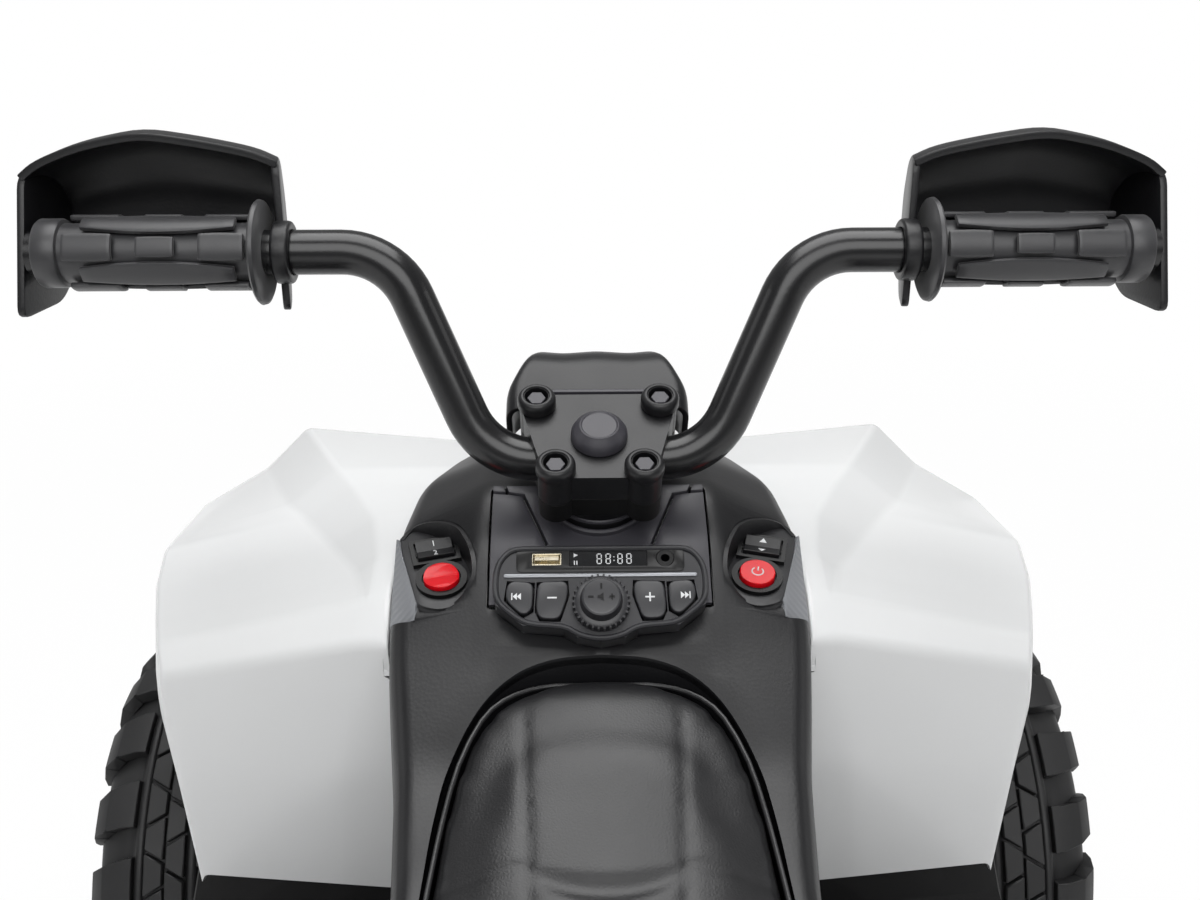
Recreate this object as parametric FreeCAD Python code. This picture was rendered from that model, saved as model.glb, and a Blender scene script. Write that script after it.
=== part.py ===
import FreeCAD, Part
import math
import os

V = FreeCAD.Vector

# Clearances
RUN_GAP = 0.06
FIT_GAP = 0.4
MOVE_GAP = 0.8
SEAT_GAP = 0.1

# Wheels and axles
WHEELBASE = 640.0
WHEEL_X = 252.0
TYRE_RADIUS = 142.0
TYRE_WIDTH = 96.0
LUG_HEIGHT = 8.0
LUG_LENGTH = 18.0
LUGS_PER_SIDE = 20
RIM_RADIUS = 78.0
RIM_WIDTH = 68.0
RIM_WALL = 9.0
RIM_DISC = 8.0
RIM_WINDOWS = 6
RIM_WINDOW_RADIUS = 13.0
HUB_RADIUS = 20.0
HUB_LENGTH = 60.0
HUB_CAP_RADIUS = 24.0
HUB_CAP_DEPTH = 13.0
AXLE_RADIUS = 6.0
AXLE_SHOULDER = 2.0
NUT_RADIUS = 10.0
NUT_LENGTH = 7.0

# Handlebar and steering
BAR_BEHIND_AXLE = 177.0
BAR_Z = 488.0
BAR_RADIUS = 10.0
BAR_WALL = 1.6
BAR_RISE = 91.7
BAR_LEAN = 22.0
BAR_LOW_X = 51.3
BAR_HIGH_X = 92.4
BAR_END_X = 252.0
BAR_BEND = 34.0
RAKE = 25.0
GRIP_RADIUS = 14.0
GRIP_IN = 148.0
GRIP_OUT = 247.5
GRIP_COLLAR = 9.4
GRIP_COLLAR_RADIUS = 15.3
GRIP_DISC_RADIUS = 23.4
GRIP_DISC = 3.5
GUARD_WALL = 3.5
GUARD_BOSS_RADIUS = 14.0
GUARD_BOSS = 4.5
GUARD_DEPTH = 46.0
GUARD_REAR = 5.5
GUARD_SLANT = 9.0
GUARD_TOP = 55.0
GUARD_DROP = 22.0
CLAMP_HALF = 14.0
STEM_DROP = 11.0
CLAMP_BOLT_REACH = 21.0
CLAMP_BOLT_FRONT_X = 28.5
CLAMP_BOLT_REAR_X = 19.5
BOSS_RADIUS = 8.0
BOSS_RAISE = 6.0
BOLT_RADIUS = 2.5
BOLT_HEAD_RADIUS = 4.3
BOLT_HEAD = 4.0
BOLT_SINK_RADIUS = 5.5
DOME_RADIUS = 12.8
DOME_HEIGHT = 8.0
POD_HALF = 44.0
POD_WALL = 3.0
NECK_RADIUS = 15.0
COLUMN_RADIUS = 8.0
CRANK_ABOVE_TIE = 50.7
COLLAR_RADIUS = 22.0
COLLAR_TOP = 14.0
COLLAR_LENGTH = 34.0
BUSH_RADIUS = 13.0
BUSH_LENGTH = 14.0
BUSH_ABOVE_FOOT = 16.0
CRANK = 40.0
CRANK_THICK = 6.0
CRANK_PIN_RADIUS = 4.0
CRANK_PIN = 52.0

# Front axle and linkage
KINGPIN_X = 172.0
KINGPIN_RADIUS = 5.0
KNUCKLE_RADIUS = 12.0
KNUCKLE_HALF = 17.0
KNUCKLE_ARM = 52.0
ARM_THICK = 6.0
ARM_HALF = 8.0
EAR_RADIUS = 13.0
EAR_THICK = 6.0
BEAM_HALF = 12.0
FORK_X = 144.0
TIE_THICK = 5.0
TIE_HALF = 11.0
TIE_PIN_RADIUS = 4.0
GEARBOX_WIDTH = 30.0
GEARBOX_HALF = 26.0
MOTOR_RADIUS = 18.0
REAR_DRIVE_INSET = 20.0

# Chassis tub
TUB_HALF = 88.0
TUB_NARROW = 58.0
TUB_WALL = 4.0
TUB_FLOOR_BELOW_AXLE = 30.0
TUB_NOSE_ABOVE_AXLE = 46.0
TUB_RIM = 236.0
TUB_BEHIND_REAR_AXLE = 52.0
TUB_STEP_BEHIND_AXLE = 125.0
TUB_AHEAD_OF_AXLE = 75.0
FRONT_BULKHEAD = -40.0
REAR_BULKHEAD_AHEAD = 58.0
BATTERY_CLEAR = 8.5
BATTERY_AHEAD_OF_AXLE = 213.0
BATTERY_LONG = 98.0
BATTERY_TALL = 95.0
POST_RADIUS = 5.0
POST_TALL = 8.0

# Dash and tank cover, measured from the middle of the console
DASH_BEHIND_AXLE = 215.0
DASH_Z = 440.0
TANK_HALF = 97.0
TANK_WALL = 3.5
TANK_BOTTOM = 205.0
TANK_FLAT = 54.0
TANK_SHOULDER = 9.0
TANK_EDGE = 7.0
TANK_FLANK = 24.0
DASH_PANEL_HALF = 50.0
DASH_PANEL_THICK = 2.0
DASH_PANEL_FRONT = 60.0
DASH_PANEL_REAR = -10.0

# Console, in a frame tilted with its face
CONSOLE_TILT = 41.6
CONSOLE_HALF = 47.7
CONSOLE_TOP = 19.3
CONSOLE_DEPTH = 16.0
CONSOLE_RAISE = 4.0
BUTTON_RAISE = 2.0
BUTTON_TRAVEL = 1.5
BUTTON_DEEP = 7.0
KNOB_RADIUS = 9.0
KNOB_BASE_RADIUS = 12.7
KNOB_HEIGHT = 9.5
KNOB_BASE = 4.0
KNOB_SHAFT = 9.0
KNOB_SHAFT_RADIUS = 3.0
KNOB_W = -8.0
AUX_RADIUS = 1.8
AUX_DEPTH = 14.0
AUX_BODY_RADIUS = 4.0
AUX_BODY = 16.0
AUX_LIP = 0.6
USB_WIDTH = 13.1
USB_HEIGHT = 5.7
USB_DEEP = 14.0
USB_WALL = 0.5

# Switch plates beside the dash
SWITCH_X = 75.0
SWITCH_AHEAD_OF_DASH = 28.0
SWITCH_Z = 438.0
SWITCH_TILT = 16.0
SWITCH_TURN = 14.0
SWITCH_WIDE = 25.0
SWITCH_LONG = 44.0
SWITCH_CLIP = 4.0
SWITCH_THICK = 5.0
SWITCH_FLOOR = 1.0
ROCKER_WIDE = 17.0
ROCKER_LONG = 11.5
ROCKER_RIM = 2.0
ROCKER_RISE = 2.4
ROCKER_PEAK = 1.6
ROCKER_PIN_RADIUS = 1.2
ROCKER_PIN = 0.9
ROUND_RADIUS = 8.2
ROUND_RIM = 2.8
LIGHT_RAISE = 1.0
POWER_TRAVEL = 2.0

# White panels
PANEL = 3.0
NOSE_HALF = 62.0
FENDER_OUT = 246.0
FENDER_CREST = 437.0
REAR_FENDER_OUT = 240.0
REAR_FENDER_ABOVE_TYRE = 111.0
TAIL_HALF = 96.0

# Seat
SEAT_HALF = 84.0
SEAT_TOP = 411.0
SEAT_THICK = 44.0
SEAT_CLEAR = 3.5
PAN_THICK = 7.0
CREASE_X = 34.0
CREASE_DEPTH = 4.0
CREASE_HALF = 3.0

# Footrests and pedal
FOOT_Z = 147.0
FOOT_OUT = 272.0
FOOT_WALL = 3.5
FOOT_LIP = 9.0
PEDAL_X = 174.0
PEDAL_BEHIND_TYRE = 150.0
PEDAL_WIDE = 50.0
PEDAL_LONG = 78.0
PEDAL_THICK = 5.0
PEDAL_SLOPE = 18.0
PEDAL_PIN_RADIUS = 3.0
PEDAL_RAISE = 13.0
PEDAL_HUB_RADIUS = 6.0
PEDAL_LUG = 6.0
PEDAL_LUG_HALF = 8.0
PEDAL_RIBS = 5
PEDAL_RIB = 4.0

# Bumpers and lamps
BUMPER_RADIUS = 11.0
BUMPER_WALL = 1.8
BUMPER_AHEAD_OF_NOSE = 28.6
BUMPER_BEHIND_TAIL = 60.0
FRONT_ARM_BELOW_RIM = 24.0
FRONT_HOOP = 122.0
FRONT_HOOP_FOOT = 26.0
FRONT_HOOP_LEAN = 10.0
FRONT_ARM = 52.0
REAR_HOOP = 118.0
REAR_HOOP_LEAN = 8.0
LAMP_WIDE = 92.0
LAMP_TALL = 44.0
LAMP_DEEP = 52.0
LAMP_LENS = 5.0
LAMP_RIM = 6.0
LAMP_Z = 296.0
LAMP_AHEAD = 180.0
LAMP_TAIL = 54.0
LAMP_TAIL_DEEP = 10.0
LAMP_TAIL_Z = 290.0
LAMP_TAIL_ROUND = 4.0

AXLE_Z = TYRE_RADIUS
FRONT_Y = WHEELBASE / 2.0
REAR_Y = -FRONT_Y
BAR_Y = FRONT_Y - BAR_BEHIND_AXLE
DASH_Y = FRONT_Y - DASH_BEHIND_AXLE
SWITCH_Y = DASH_Y + SWITCH_AHEAD_OF_DASH
PEDAL_Y = FRONT_Y - TYRE_RADIUS - PEDAL_BEHIND_TYRE
REAR_FENDER_CREST = AXLE_Z + TYRE_RADIUS + REAR_FENDER_ABOVE_TYRE
GRIP_Y = BAR_Y + BAR_LEAN
GRIP_Z = BAR_Z + BAR_RISE
HUB_IN = WHEEL_X - HUB_LENGTH / 2.0
HUB_OUT = WHEEL_X + HUB_LENGTH / 2.0
TUB_FLOOR = AXLE_Z - TUB_FLOOR_BELOW_AXLE
TUB_NOSE_FLOOR = AXLE_Z + TUB_NOSE_ABOVE_AXLE
TUB_REAR = REAR_Y - TUB_BEHIND_REAR_AXLE
REAR_BULKHEAD = REAR_Y + REAR_BULKHEAD_AHEAD
BATTERY_FRONT = REAR_Y + BATTERY_AHEAD_OF_AXLE
TUB_STEP = FRONT_Y - TUB_STEP_BEHIND_AXLE
TUB_FRONT = FRONT_Y + TUB_AHEAD_OF_AXLE
TIE_TOP = AXLE_Z - KNUCKLE_HALF - FIT_GAP
COLUMN_LENGTH = (BAR_Z - TIE_TOP - CRANK_ABOVE_TIE) / math.cos(math.radians(RAKE))


def save(name, shape):
    shape.exportStep("parts/" + name + ".step")


def box(x0, x1, y0, y1, z0, z1):
    return Part.makeBox(x1 - x0, y1 - y0, z1 - z0, V(x0, y0, z0))


def rod(start, end, radius):
    way = end.sub(start)
    return Part.makeCylinder(radius, way.Length, start, way)


def ring(start, end, radius, bore):
    return rod(start, end, radius).cut(rod(start, end, bore))


def plate(outline, low, high):
    face = Part.Face(Part.makePolygon([V(x, y, low) for x, y in outline + outline[:1]]))
    return face.extrude(V(0, 0, high - low))


def mirrored(shape):
    return shape.mirror(V(0, 0, 0), V(1, 0, 0))


def tilted(shape, origin, angle):
    turned = shape.copy()
    turned.rotate(V(0, 0, 0), V(1, 0, 0), angle)
    turned.translate(origin)
    return turned


def on_column(shape):
    return tilted(shape, V(0, BAR_Y, BAR_Z), RAKE)


def column_point(down):
    angle = math.radians(RAKE)
    return V(0, BAR_Y + down * math.sin(angle), BAR_Z - down * math.cos(angle))


def on_console(shape):
    return tilted(shape, V(0, DASH_Y, DASH_Z), CONSOLE_TILT)


def triangle(a, b, c):
    return Part.Face(Part.makePolygon([a, b, c, a]))


def closed(faces):
    solid = Part.makeSolid(Part.makeShell(faces))
    if solid.Volume < 0:
        solid.reverse()
    return solid


# A panel of even wall from a grid of points, its outer side where the rows cross the columns
# to the left; level columns keep their wall square to the middle of the bike
def panel(rows, wall, level=()):
    high = len(rows)
    wide = len(rows[0])
    normals = [[V(0, 0, 0) for _ in range(wide)] for _ in range(high)]
    for i in range(high - 1):
        for j in range(wide - 1):
            across = rows[i + 1][j + 1].sub(rows[i][j])
            other = rows[i][j + 1].sub(rows[i + 1][j])
            normal = across.cross(other)
            for a, b in ((i, j), (i + 1, j), (i, j + 1), (i + 1, j + 1)):
                normals[a][b] = normals[a][b].add(normal)
    inner = []
    for i in range(high):
        line = []
        for j in range(wide):
            normal = normals[i][j]
            if j in level:
                normal = V(0, normal.y, normal.z)
            line.append(rows[i][j].sub(normal.normalize().multiply(wall)))
        inner.append(line)
    faces = []
    for i in range(high - 1):
        for j in range(wide - 1):
            for grid in (rows, inner):
                a, b = grid[i][j], grid[i][j + 1]
                c, d = grid[i + 1][j + 1], grid[i + 1][j]
                faces += [triangle(a, b, c), triangle(a, c, d)]
    rim = [(0, j) for j in range(wide)] + [(i, wide - 1) for i in range(1, high)]
    rim += [(high - 1, j) for j in range(wide - 2, -1, -1)] + [(i, 0) for i in range(high - 2, 0, -1)]
    for (i, j), (k, m) in zip(rim, rim[1:] + rim[:1]):
        faces.append(triangle(rows[i][j], rows[k][m], inner[k][m]))
        faces.append(triangle(rows[i][j], inner[k][m], inner[i][j]))
    return closed(faces)


# A tube along straight lines with a bend at each corner
def bent_tube(points, radius, bend, wall):
    edges = []
    start = points[0]
    for before, corner, after in zip(points, points[1:], points[2:]):
        back = before.sub(corner).normalize()
        on = after.sub(corner).normalize()
        half = back.getAngle(on) / 2.0
        reach = bend / math.tan(half)
        first = corner.add(back * reach)
        last = corner.add(on * reach)
        middle = corner.add((back + on).normalize() * (bend / math.sin(half) - bend))
        edges.append(Part.makeLine(start, first))
        edges.append(Part.Arc(first, middle, last).toShape())
        start = last
    edges.append(Part.makeLine(start, points[-1]))
    path = Part.Wire(edges)
    way = points[1].sub(points[0])
    pipes = []
    for r in (radius, radius - wall):
        circle = Part.Wire(Part.makeCircle(r, points[0], way))
        pipes.append(path.makePipeShell([circle], True, False))
    return pipes[0].cut(pipes[1])


# Wheels, built round the X axis with the outer face towards +X
TYRE_PROFILE = [(0.70, 0.0), (0.95, 0.25), (0.985, 0.6), (0.88, 0.84), (0.60, 0.97), (0.0, 1.0)]
LUG_PROFILE = [(0.18, -2.0), (0.18, 0.0), (0.68, -0.15), (1.0, -2.2), (1.0, -4.2), (0.84, -3.2)]


def make_tyre():
    half = TYRE_WIDTH / 2.0
    bead = RIM_RADIUS + SEAT_GAP
    side = TYRE_RADIUS - LUG_HEIGHT - bead
    points = [V(half * x, 0, bead + side * r) for x, r in TYRE_PROFILE]
    points += [V(-p.x, 0, p.z) for p in reversed(points[:-1])]
    body = Part.Face(Part.makePolygon(points + points[:1])).revolve(V(0, 0, 0), V(1, 0, 0), 360)
    outline = [V(half * x, -LUG_LENGTH / 2.0, TYRE_RADIUS + LUG_HEIGHT * r) for x, r in LUG_PROFILE]
    lug = Part.Face(Part.makePolygon(outline + outline[:1])).extrude(V(0, LUG_LENGTH, 0))
    step = 360.0 / LUGS_PER_SIDE
    lugs = []
    for n in range(LUGS_PER_SIDE):
        for piece, turn in ((lug, n * step), (mirrored(lug), (n + 0.5) * step)):
            turned = piece.copy()
            turned.rotate(V(0, 0, 0), V(1, 0, 0), turn)
            lugs.append(turned)
    return body.fuse(lugs).removeSplitter()


def make_rim():
    half = RIM_WIDTH / 2.0
    barrel = ring(V(-half, 0, 0), V(half, 0, 0), RIM_RADIUS, RIM_RADIUS - RIM_WALL)
    disc = rod(V(0, 0, 0), V(RIM_DISC, 0, 0), RIM_RADIUS - RIM_WALL / 2.0)
    hub = rod(V(-HUB_LENGTH / 2.0, 0, 0), V(HUB_LENGTH / 2.0, 0, 0), HUB_RADIUS)
    reach = (RIM_RADIUS - RIM_WALL + HUB_RADIUS) / 2.0
    windows = []
    for n in range(RIM_WINDOWS):
        turn = 2.0 * math.pi * n / RIM_WINDOWS
        spot = V(-RIM_DISC, reach * math.cos(turn), reach * math.sin(turn))
        windows.append(rod(spot, spot.add(V(3.0 * RIM_DISC, 0, 0)), RIM_WINDOW_RADIUS))
    disc = disc.cut(Part.makeCompound(windows))
    whole = barrel.fuse([disc, hub]).removeSplitter()
    return whole.cut(rod(V(-HUB_LENGTH, 0, 0), V(HUB_LENGTH, 0, 0), AXLE_RADIUS + RUN_GAP))


def make_hub_cap():
    start = HUB_LENGTH / 2.0 + SEAT_GAP
    cap = rod(V(start, 0, 0), V(start + HUB_CAP_DEPTH, 0, 0), HUB_CAP_RADIUS)
    rim_edge = [e for e in cap.Edges if e.Closed and e.BoundBox.XMin > start + 1.0]
    cap = cap.makeFillet(HUB_CAP_DEPTH / 3.0, rim_edge)
    return cap.cut(rod(V(start - 1.0, 0, 0), V(start + NUT_LENGTH + 2.0, 0, 0), NUT_RADIUS + MOVE_GAP))


def wheel_nut(side):
    start = side * (HUB_OUT + FIT_GAP)
    return rod(V(start, 0, 0), V(start + side * NUT_LENGTH, 0, 0), NUT_RADIUS)


def place_wheels():
    tyre = make_tyre()
    rim = Part.makeCompound([make_rim(), make_hub_cap()])
    for name, y in (("front", FRONT_Y), ("rear", REAR_Y)):
        for side, sign in (("left", -1), ("right", 1)):
            for piece, shape in (("tyre", tyre), ("rim", rim)):
                placed = shape.copy() if sign > 0 else mirrored(shape)
                placed.translate(V(sign * WHEEL_X, y, AXLE_Z))
                save(piece + "_" + name + "_" + side, placed)


# Chassis tub with two bulkheads that carry the seat
def seat_base(y):
    return blend(SEAT_STATIONS, y, 2) - SEAT_THICK


def blend(stations, y, column):
    ordered = sorted(stations)
    if y <= ordered[0][0]:
        return ordered[0][column]
    for low, high in zip(ordered, ordered[1:]):
        if y <= high[0]:
            share = (y - low[0]) / (high[0] - low[0])
            return low[column] + share * (high[column] - low[column])
    return ordered[-1][column]


# Seat stations: place along the bike, half width and top height
SEAT_STATIONS = [
    (DASH_Y - 26.0, 0.33 * SEAT_HALF, SEAT_TOP - 3.0),
    (DASH_Y - 34.0, 0.48 * SEAT_HALF, SEAT_TOP),
    (DASH_Y - 55.0, 0.64 * SEAT_HALF, SEAT_TOP - 6.0),
    (DASH_Y - 90.0, 0.745 * SEAT_HALF, SEAT_TOP - 20.0),
    (DASH_Y - 140.0, 0.80 * SEAT_HALF, SEAT_TOP - 39.0),
    (DASH_Y - 200.0, 0.87 * SEAT_HALF, SEAT_TOP - 55.0),
    (DASH_Y - 250.0, 0.93 * SEAT_HALF, SEAT_TOP - 59.0),
    (DASH_Y - 320.0, SEAT_HALF, SEAT_TOP - 53.0),
    (DASH_Y - 400.0, SEAT_HALF, SEAT_TOP - 41.0),
    (DASH_Y - 460.0, 0.92 * SEAT_HALF, SEAT_TOP - 33.0),
    (DASH_Y - 496.0, 0.70 * SEAT_HALF, SEAT_TOP - 39.0),
]

def make_tub():
    wide = box(-TUB_HALF, TUB_HALF, TUB_REAR, TUB_STEP, TUB_FLOOR, TUB_RIM)
    narrow = box(-TUB_NARROW, TUB_NARROW, TUB_STEP, TUB_FRONT, TUB_NOSE_FLOOR, TUB_RIM)
    t = TUB_WALL
    wide_room = box(-TUB_HALF + t, TUB_HALF - t, TUB_REAR + t, TUB_STEP - t, TUB_FLOOR + t, TUB_RIM + t)
    nose_room = box(-TUB_NARROW + t, TUB_NARROW - t, TUB_STEP - 2.0 * t, TUB_FRONT - t,
                    TUB_NOSE_FLOOR + t, TUB_RIM + t)
    tub = wide.fuse(narrow).removeSplitter().cut(wide_room).cut(nose_room)
    walls = []
    for y in (FRONT_BULKHEAD, REAR_BULKHEAD):
        low = min(seat_base(y - t), seat_base(y + t)) - PAN_THICK - FIT_GAP
        walls.append(box(-TUB_HALF, TUB_HALF, y - t / 2.0, y + t / 2.0, TUB_FLOOR, low))
    tub = tub.fuse(walls).removeSplitter()
    axle = rod(V(-TUB_HALF - 1.0, REAR_Y, AXLE_Z), V(TUB_HALF + 1.0, REAR_Y, AXLE_Z), AXLE_RADIUS + RUN_GAP)
    upper = column_point(COLUMN_LENGTH - 4.0 * BUSH_LENGTH)
    bush = rod(upper, column_point(COLUMN_LENGTH), BUSH_RADIUS + SEAT_GAP)
    return tub.cut(axle).cut(bush)


def make_front_beam():
    y = FRONT_Y
    z = AXLE_Z
    b = BEAM_HALF
    low = z - KNUCKLE_HALF - FIT_GAP
    high = z + KNUCKLE_HALF + FIT_GAP
    beam = box(-FORK_X, FORK_X, y - b, y + b, z - b, z + b)
    pieces = []
    for sign in (-1, 1):
        inner, outer = sorted((sign * (FORK_X - b), sign * FORK_X))
        pieces.append(box(inner, outer, y - b, y + b, low - EAR_THICK, high + EAR_THICK))
        for base in (low - EAR_THICK, high):
            near, far = sorted((sign * (FORK_X - b), sign * KINGPIN_X))
            pieces.append(box(near, far, y - b, y + b, base, base + EAR_THICK))
            pin = V(sign * KINGPIN_X, y, base)
            pieces.append(rod(pin, pin.add(V(0, 0, EAR_THICK)), EAR_RADIUS))
        near, far = sorted((sign * 0.35 * TUB_NARROW, sign * TUB_NARROW))
        pieces.append(box(near, far, y - b, y + b, z + b, TUB_NOSE_FLOOR))
    beam = beam.fuse(pieces).removeSplitter()
    for sign in (-1, 1):
        start = V(sign * KINGPIN_X, y, low - 2.0 * EAR_THICK)
        beam = beam.cut(rod(start, V(start.x, y, high + 2.0 * EAR_THICK), KINGPIN_RADIUS))
    return beam


def make_kingpins():
    pins = []
    for sign in (-1, 1):
        x = sign * KINGPIN_X
        low = AXLE_Z - KNUCKLE_HALF - FIT_GAP - EAR_THICK
        high = AXLE_Z + KNUCKLE_HALF + FIT_GAP + EAR_THICK
        pin = rod(V(x, FRONT_Y, low), V(x, FRONT_Y, high), KINGPIN_RADIUS)
        head = rod(V(x, FRONT_Y, high), V(x, FRONT_Y, high + KINGPIN_RADIUS), 1.7 * KINGPIN_RADIUS)
        nut = rod(V(x, FRONT_Y, low - KINGPIN_RADIUS), V(x, FRONT_Y, low), 1.7 * KINGPIN_RADIUS)
        pins.append(pin.fuse([head, nut]).removeSplitter())
    return Part.makeCompound(pins)


# Knuckle for the right side, mirrored for the left
def make_knuckle():
    x = KINGPIN_X
    y = FRONT_Y
    low = AXLE_Z - KNUCKLE_HALF
    tube = rod(V(x, y, low), V(x, y, AXLE_Z + KNUCKLE_HALF), KNUCKLE_RADIUS)
    stub = rod(V(x, y, AXLE_Z), V(HUB_OUT + FIT_GAP + NUT_LENGTH, y, AXLE_Z), AXLE_RADIUS)
    shoulder = rod(V(x, y, AXLE_Z), V(HUB_IN - FIT_GAP, y, AXLE_Z), AXLE_RADIUS + AXLE_SHOULDER)
    nut = wheel_nut(1)
    nut.translate(V(0, y, AXLE_Z))
    tip = y - KNUCKLE_ARM
    arm = box(x - ARM_HALF, x + ARM_HALF, tip, y, low, low + ARM_THICK)
    eye = rod(V(x, tip, low), V(x, tip, low + ARM_THICK), ARM_HALF)
    pin = rod(V(x, tip, low - 2.0 * FIT_GAP - TIE_THICK - 2.0), V(x, tip, low), TIE_PIN_RADIUS)
    whole = tube.fuse([stub, shoulder, nut, arm, eye, pin]).removeSplitter()
    top = V(x, y, AXLE_Z + KNUCKLE_HALF + 1.0)
    return whole.cut(rod(V(x, y, low - 1.0), top, KINGPIN_RADIUS + RUN_GAP))


def make_tie_rod():
    top = TIE_TOP
    y = FRONT_Y - KNUCKLE_ARM
    low = top - TIE_THICK
    bar = box(-KINGPIN_X, KINGPIN_X, y - TIE_HALF, y + TIE_HALF, low, top)
    for sign in (-1, 1):
        bar = bar.fuse(rod(V(sign * KINGPIN_X, y, low), V(sign * KINGPIN_X, y, top), TIE_HALF))
    bar = bar.removeSplitter()
    for sign in (-1, 1):
        spot = V(sign * KINGPIN_X, y, low - 1.0)
        bar = bar.cut(rod(spot, V(spot.x, y, top + 1.0), TIE_PIN_RADIUS + RUN_GAP))
    middle = crank_pin_y((low + top) / 2.0)
    half = CRANK_PIN_RADIUS + MOVE_GAP
    reach = half + 0.12 * CRANK + TIE_THICK / 2.0
    near = min(middle - 1.6 * reach, y - TIE_HALF)
    far = max(middle + 1.8 * reach, y + TIE_HALF)
    pad = box(-3.0 * half, 3.0 * half, near, far, low, top)
    slot = box(-half, half, middle - reach, middle + 1.25 * reach, low - 1.0, top + 1.0)
    return bar.fuse(pad).removeSplitter().cut(slot)


# Place along the bike where the crank pin passes a given height
def crank_pin_y(height):
    angle = math.radians(RAKE)
    foot = column_point(COLUMN_LENGTH)
    y = foot.y - CRANK * math.cos(angle)
    z = foot.z - CRANK * math.sin(angle)
    return y + (z - height) * math.tan(angle)


def front_drive():
    x0 = KINGPIN_X + EAR_RADIUS + MOVE_GAP
    x1 = x0 + GEARBOX_WIDTH
    far = FRONT_Y + 2.6 * GEARBOX_HALF
    case = box(x0, x1, FRONT_Y - 1.1 * GEARBOX_HALF, far, AXLE_Z - GEARBOX_HALF, AXLE_Z + GEARBOX_HALF)
    upright = [e for e in case.Edges if abs(e.BoundBox.XLength - GEARBOX_WIDTH) < 0.01]
    case = case.makeFillet(GEARBOX_HALF / 2.0, upright)
    bore = AXLE_RADIUS + AXLE_SHOULDER + SEAT_GAP
    case = case.cut(rod(V(x0 - 1.0, FRONT_Y, AXLE_Z), V(x1 + 1.0, FRONT_Y, AXLE_Z), bore))
    y = far - MOTOR_RADIUS - 1.0
    motor = rod(V(x0 - 2.0 * MOTOR_RADIUS, y, AXLE_Z), V(x0, y, AXLE_Z), MOTOR_RADIUS)
    return Part.makeCompound([case, motor])


def rear_drive():
    x1 = HUB_IN - REAR_DRIVE_INSET
    x0 = x1 - GEARBOX_WIDTH
    case = box(x0, x1, REAR_Y - 1.1 * GEARBOX_HALF, REAR_Y + 2.6 * GEARBOX_HALF,
               AXLE_Z - GEARBOX_HALF, AXLE_Z + GEARBOX_HALF)
    upright = [e for e in case.Edges if abs(e.BoundBox.XLength - GEARBOX_WIDTH) < 0.01]
    case = case.makeFillet(GEARBOX_HALF / 2.0, upright)
    case = case.cut(rod(V(x0 - 1.0, REAR_Y, AXLE_Z), V(x1 + 1.0, REAR_Y, AXLE_Z), AXLE_RADIUS + SEAT_GAP))
    y = REAR_Y + 2.6 * GEARBOX_HALF - MOTOR_RADIUS - 1.0
    motor = rod(V(TUB_HALF, y, AXLE_Z), V(x0, y, AXLE_Z), MOTOR_RADIUS)
    return case, motor


def make_rear_axle():
    end = HUB_OUT + FIT_GAP + NUT_LENGTH
    shaft = rod(V(-end, 0, 0), V(end, 0, 0), AXLE_RADIUS).fuse([wheel_nut(-1), wheel_nut(1)])
    for sign in (-1, 1):
        start = V(sign * (HUB_IN - REAR_DRIVE_INSET + SEAT_GAP), 0, 0)
        end = V(sign * (HUB_IN - FIT_GAP), 0, 0)
        shaft = shaft.fuse(rod(start, end, AXLE_RADIUS + AXLE_SHOULDER))
    shaft = shaft.removeSplitter()
    shaft.translate(V(0, REAR_Y, AXLE_Z))
    return shaft


# Tank cover stations: place from the console, half width share, shoulder and crown heights
TANK_STATIONS = [
    (157.0, 0.64, 7.0, 15.0),
    (135.0, 0.815, 10.0, 20.0),
    (95.0, 0.95, 13.0, 26.0),
    (55.0, 1.0, 7.0, 27.0),
    (25.0, 1.0, -3.0, 12.0),
    (0.0, 0.99, -16.0, -8.0),
    (-17.0, 0.98, -26.0, -23.0),
    (-55.0, 0.965, -52.0, -50.0),
    (-105.0, 0.955, -74.0, -73.0),
    (-165.0, 0.95, -92.0, -92.0),
    (-245.0, 0.95, -100.0, -100.0),
]


def tank_half(y):
    return TANK_HALF * blend(TANK_STATIONS, y - DASH_Y, 1)


def mirrored_row(points, y):
    row = [V(-x, y, z) for x, z in points]
    return row + [V(x, y, z) for x, z in reversed(points) if x > 0]


def tank_row(station):
    place, share, shoulder, crown = station
    half = TANK_HALF * share
    foot = min(TUB_HALF + FIT_GAP + TANK_WALL, half + TANK_WALL + FIT_GAP)
    high = DASH_Z + shoulder
    waist = TANK_BOTTOM + 0.45 * (high - TANK_BOTTOM)
    flat = min(TANK_FLAT, 0.8 * half)
    points = [(foot, TANK_BOTTOM), (max(foot, 0.97 * half), waist), (half, high - TANK_FLANK),
              (half - 0.3 * TANK_EDGE, high - TANK_EDGE), (half - TANK_SHOULDER, high),
              (flat, DASH_Z + crown), (0.0, DASH_Z + crown)]
    return mirrored_row(points, DASH_Y + place)


# Plan of the well that takes the seat, a little wider than the cushion
def seat_well():
    right = [(blend(SEAT_STATIONS, y, 1) + SEAT_CLEAR, y) for y, _, _ in SEAT_STATIONS]
    nose = (0.0, DASH_Y - 17.0)
    tail = SEAT_STATIONS[-1][0] - SEAT_CLEAR
    right = [(right[0][0] * 0.8, DASH_Y - 19.0)] + right[1:]
    right.append((right[-1][0], tail))
    outline = [nose] + right + [(-x, y) for x, y in reversed(right)]
    return plate(outline, TUB_RIM + 20.0, DASH_Z)


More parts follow.
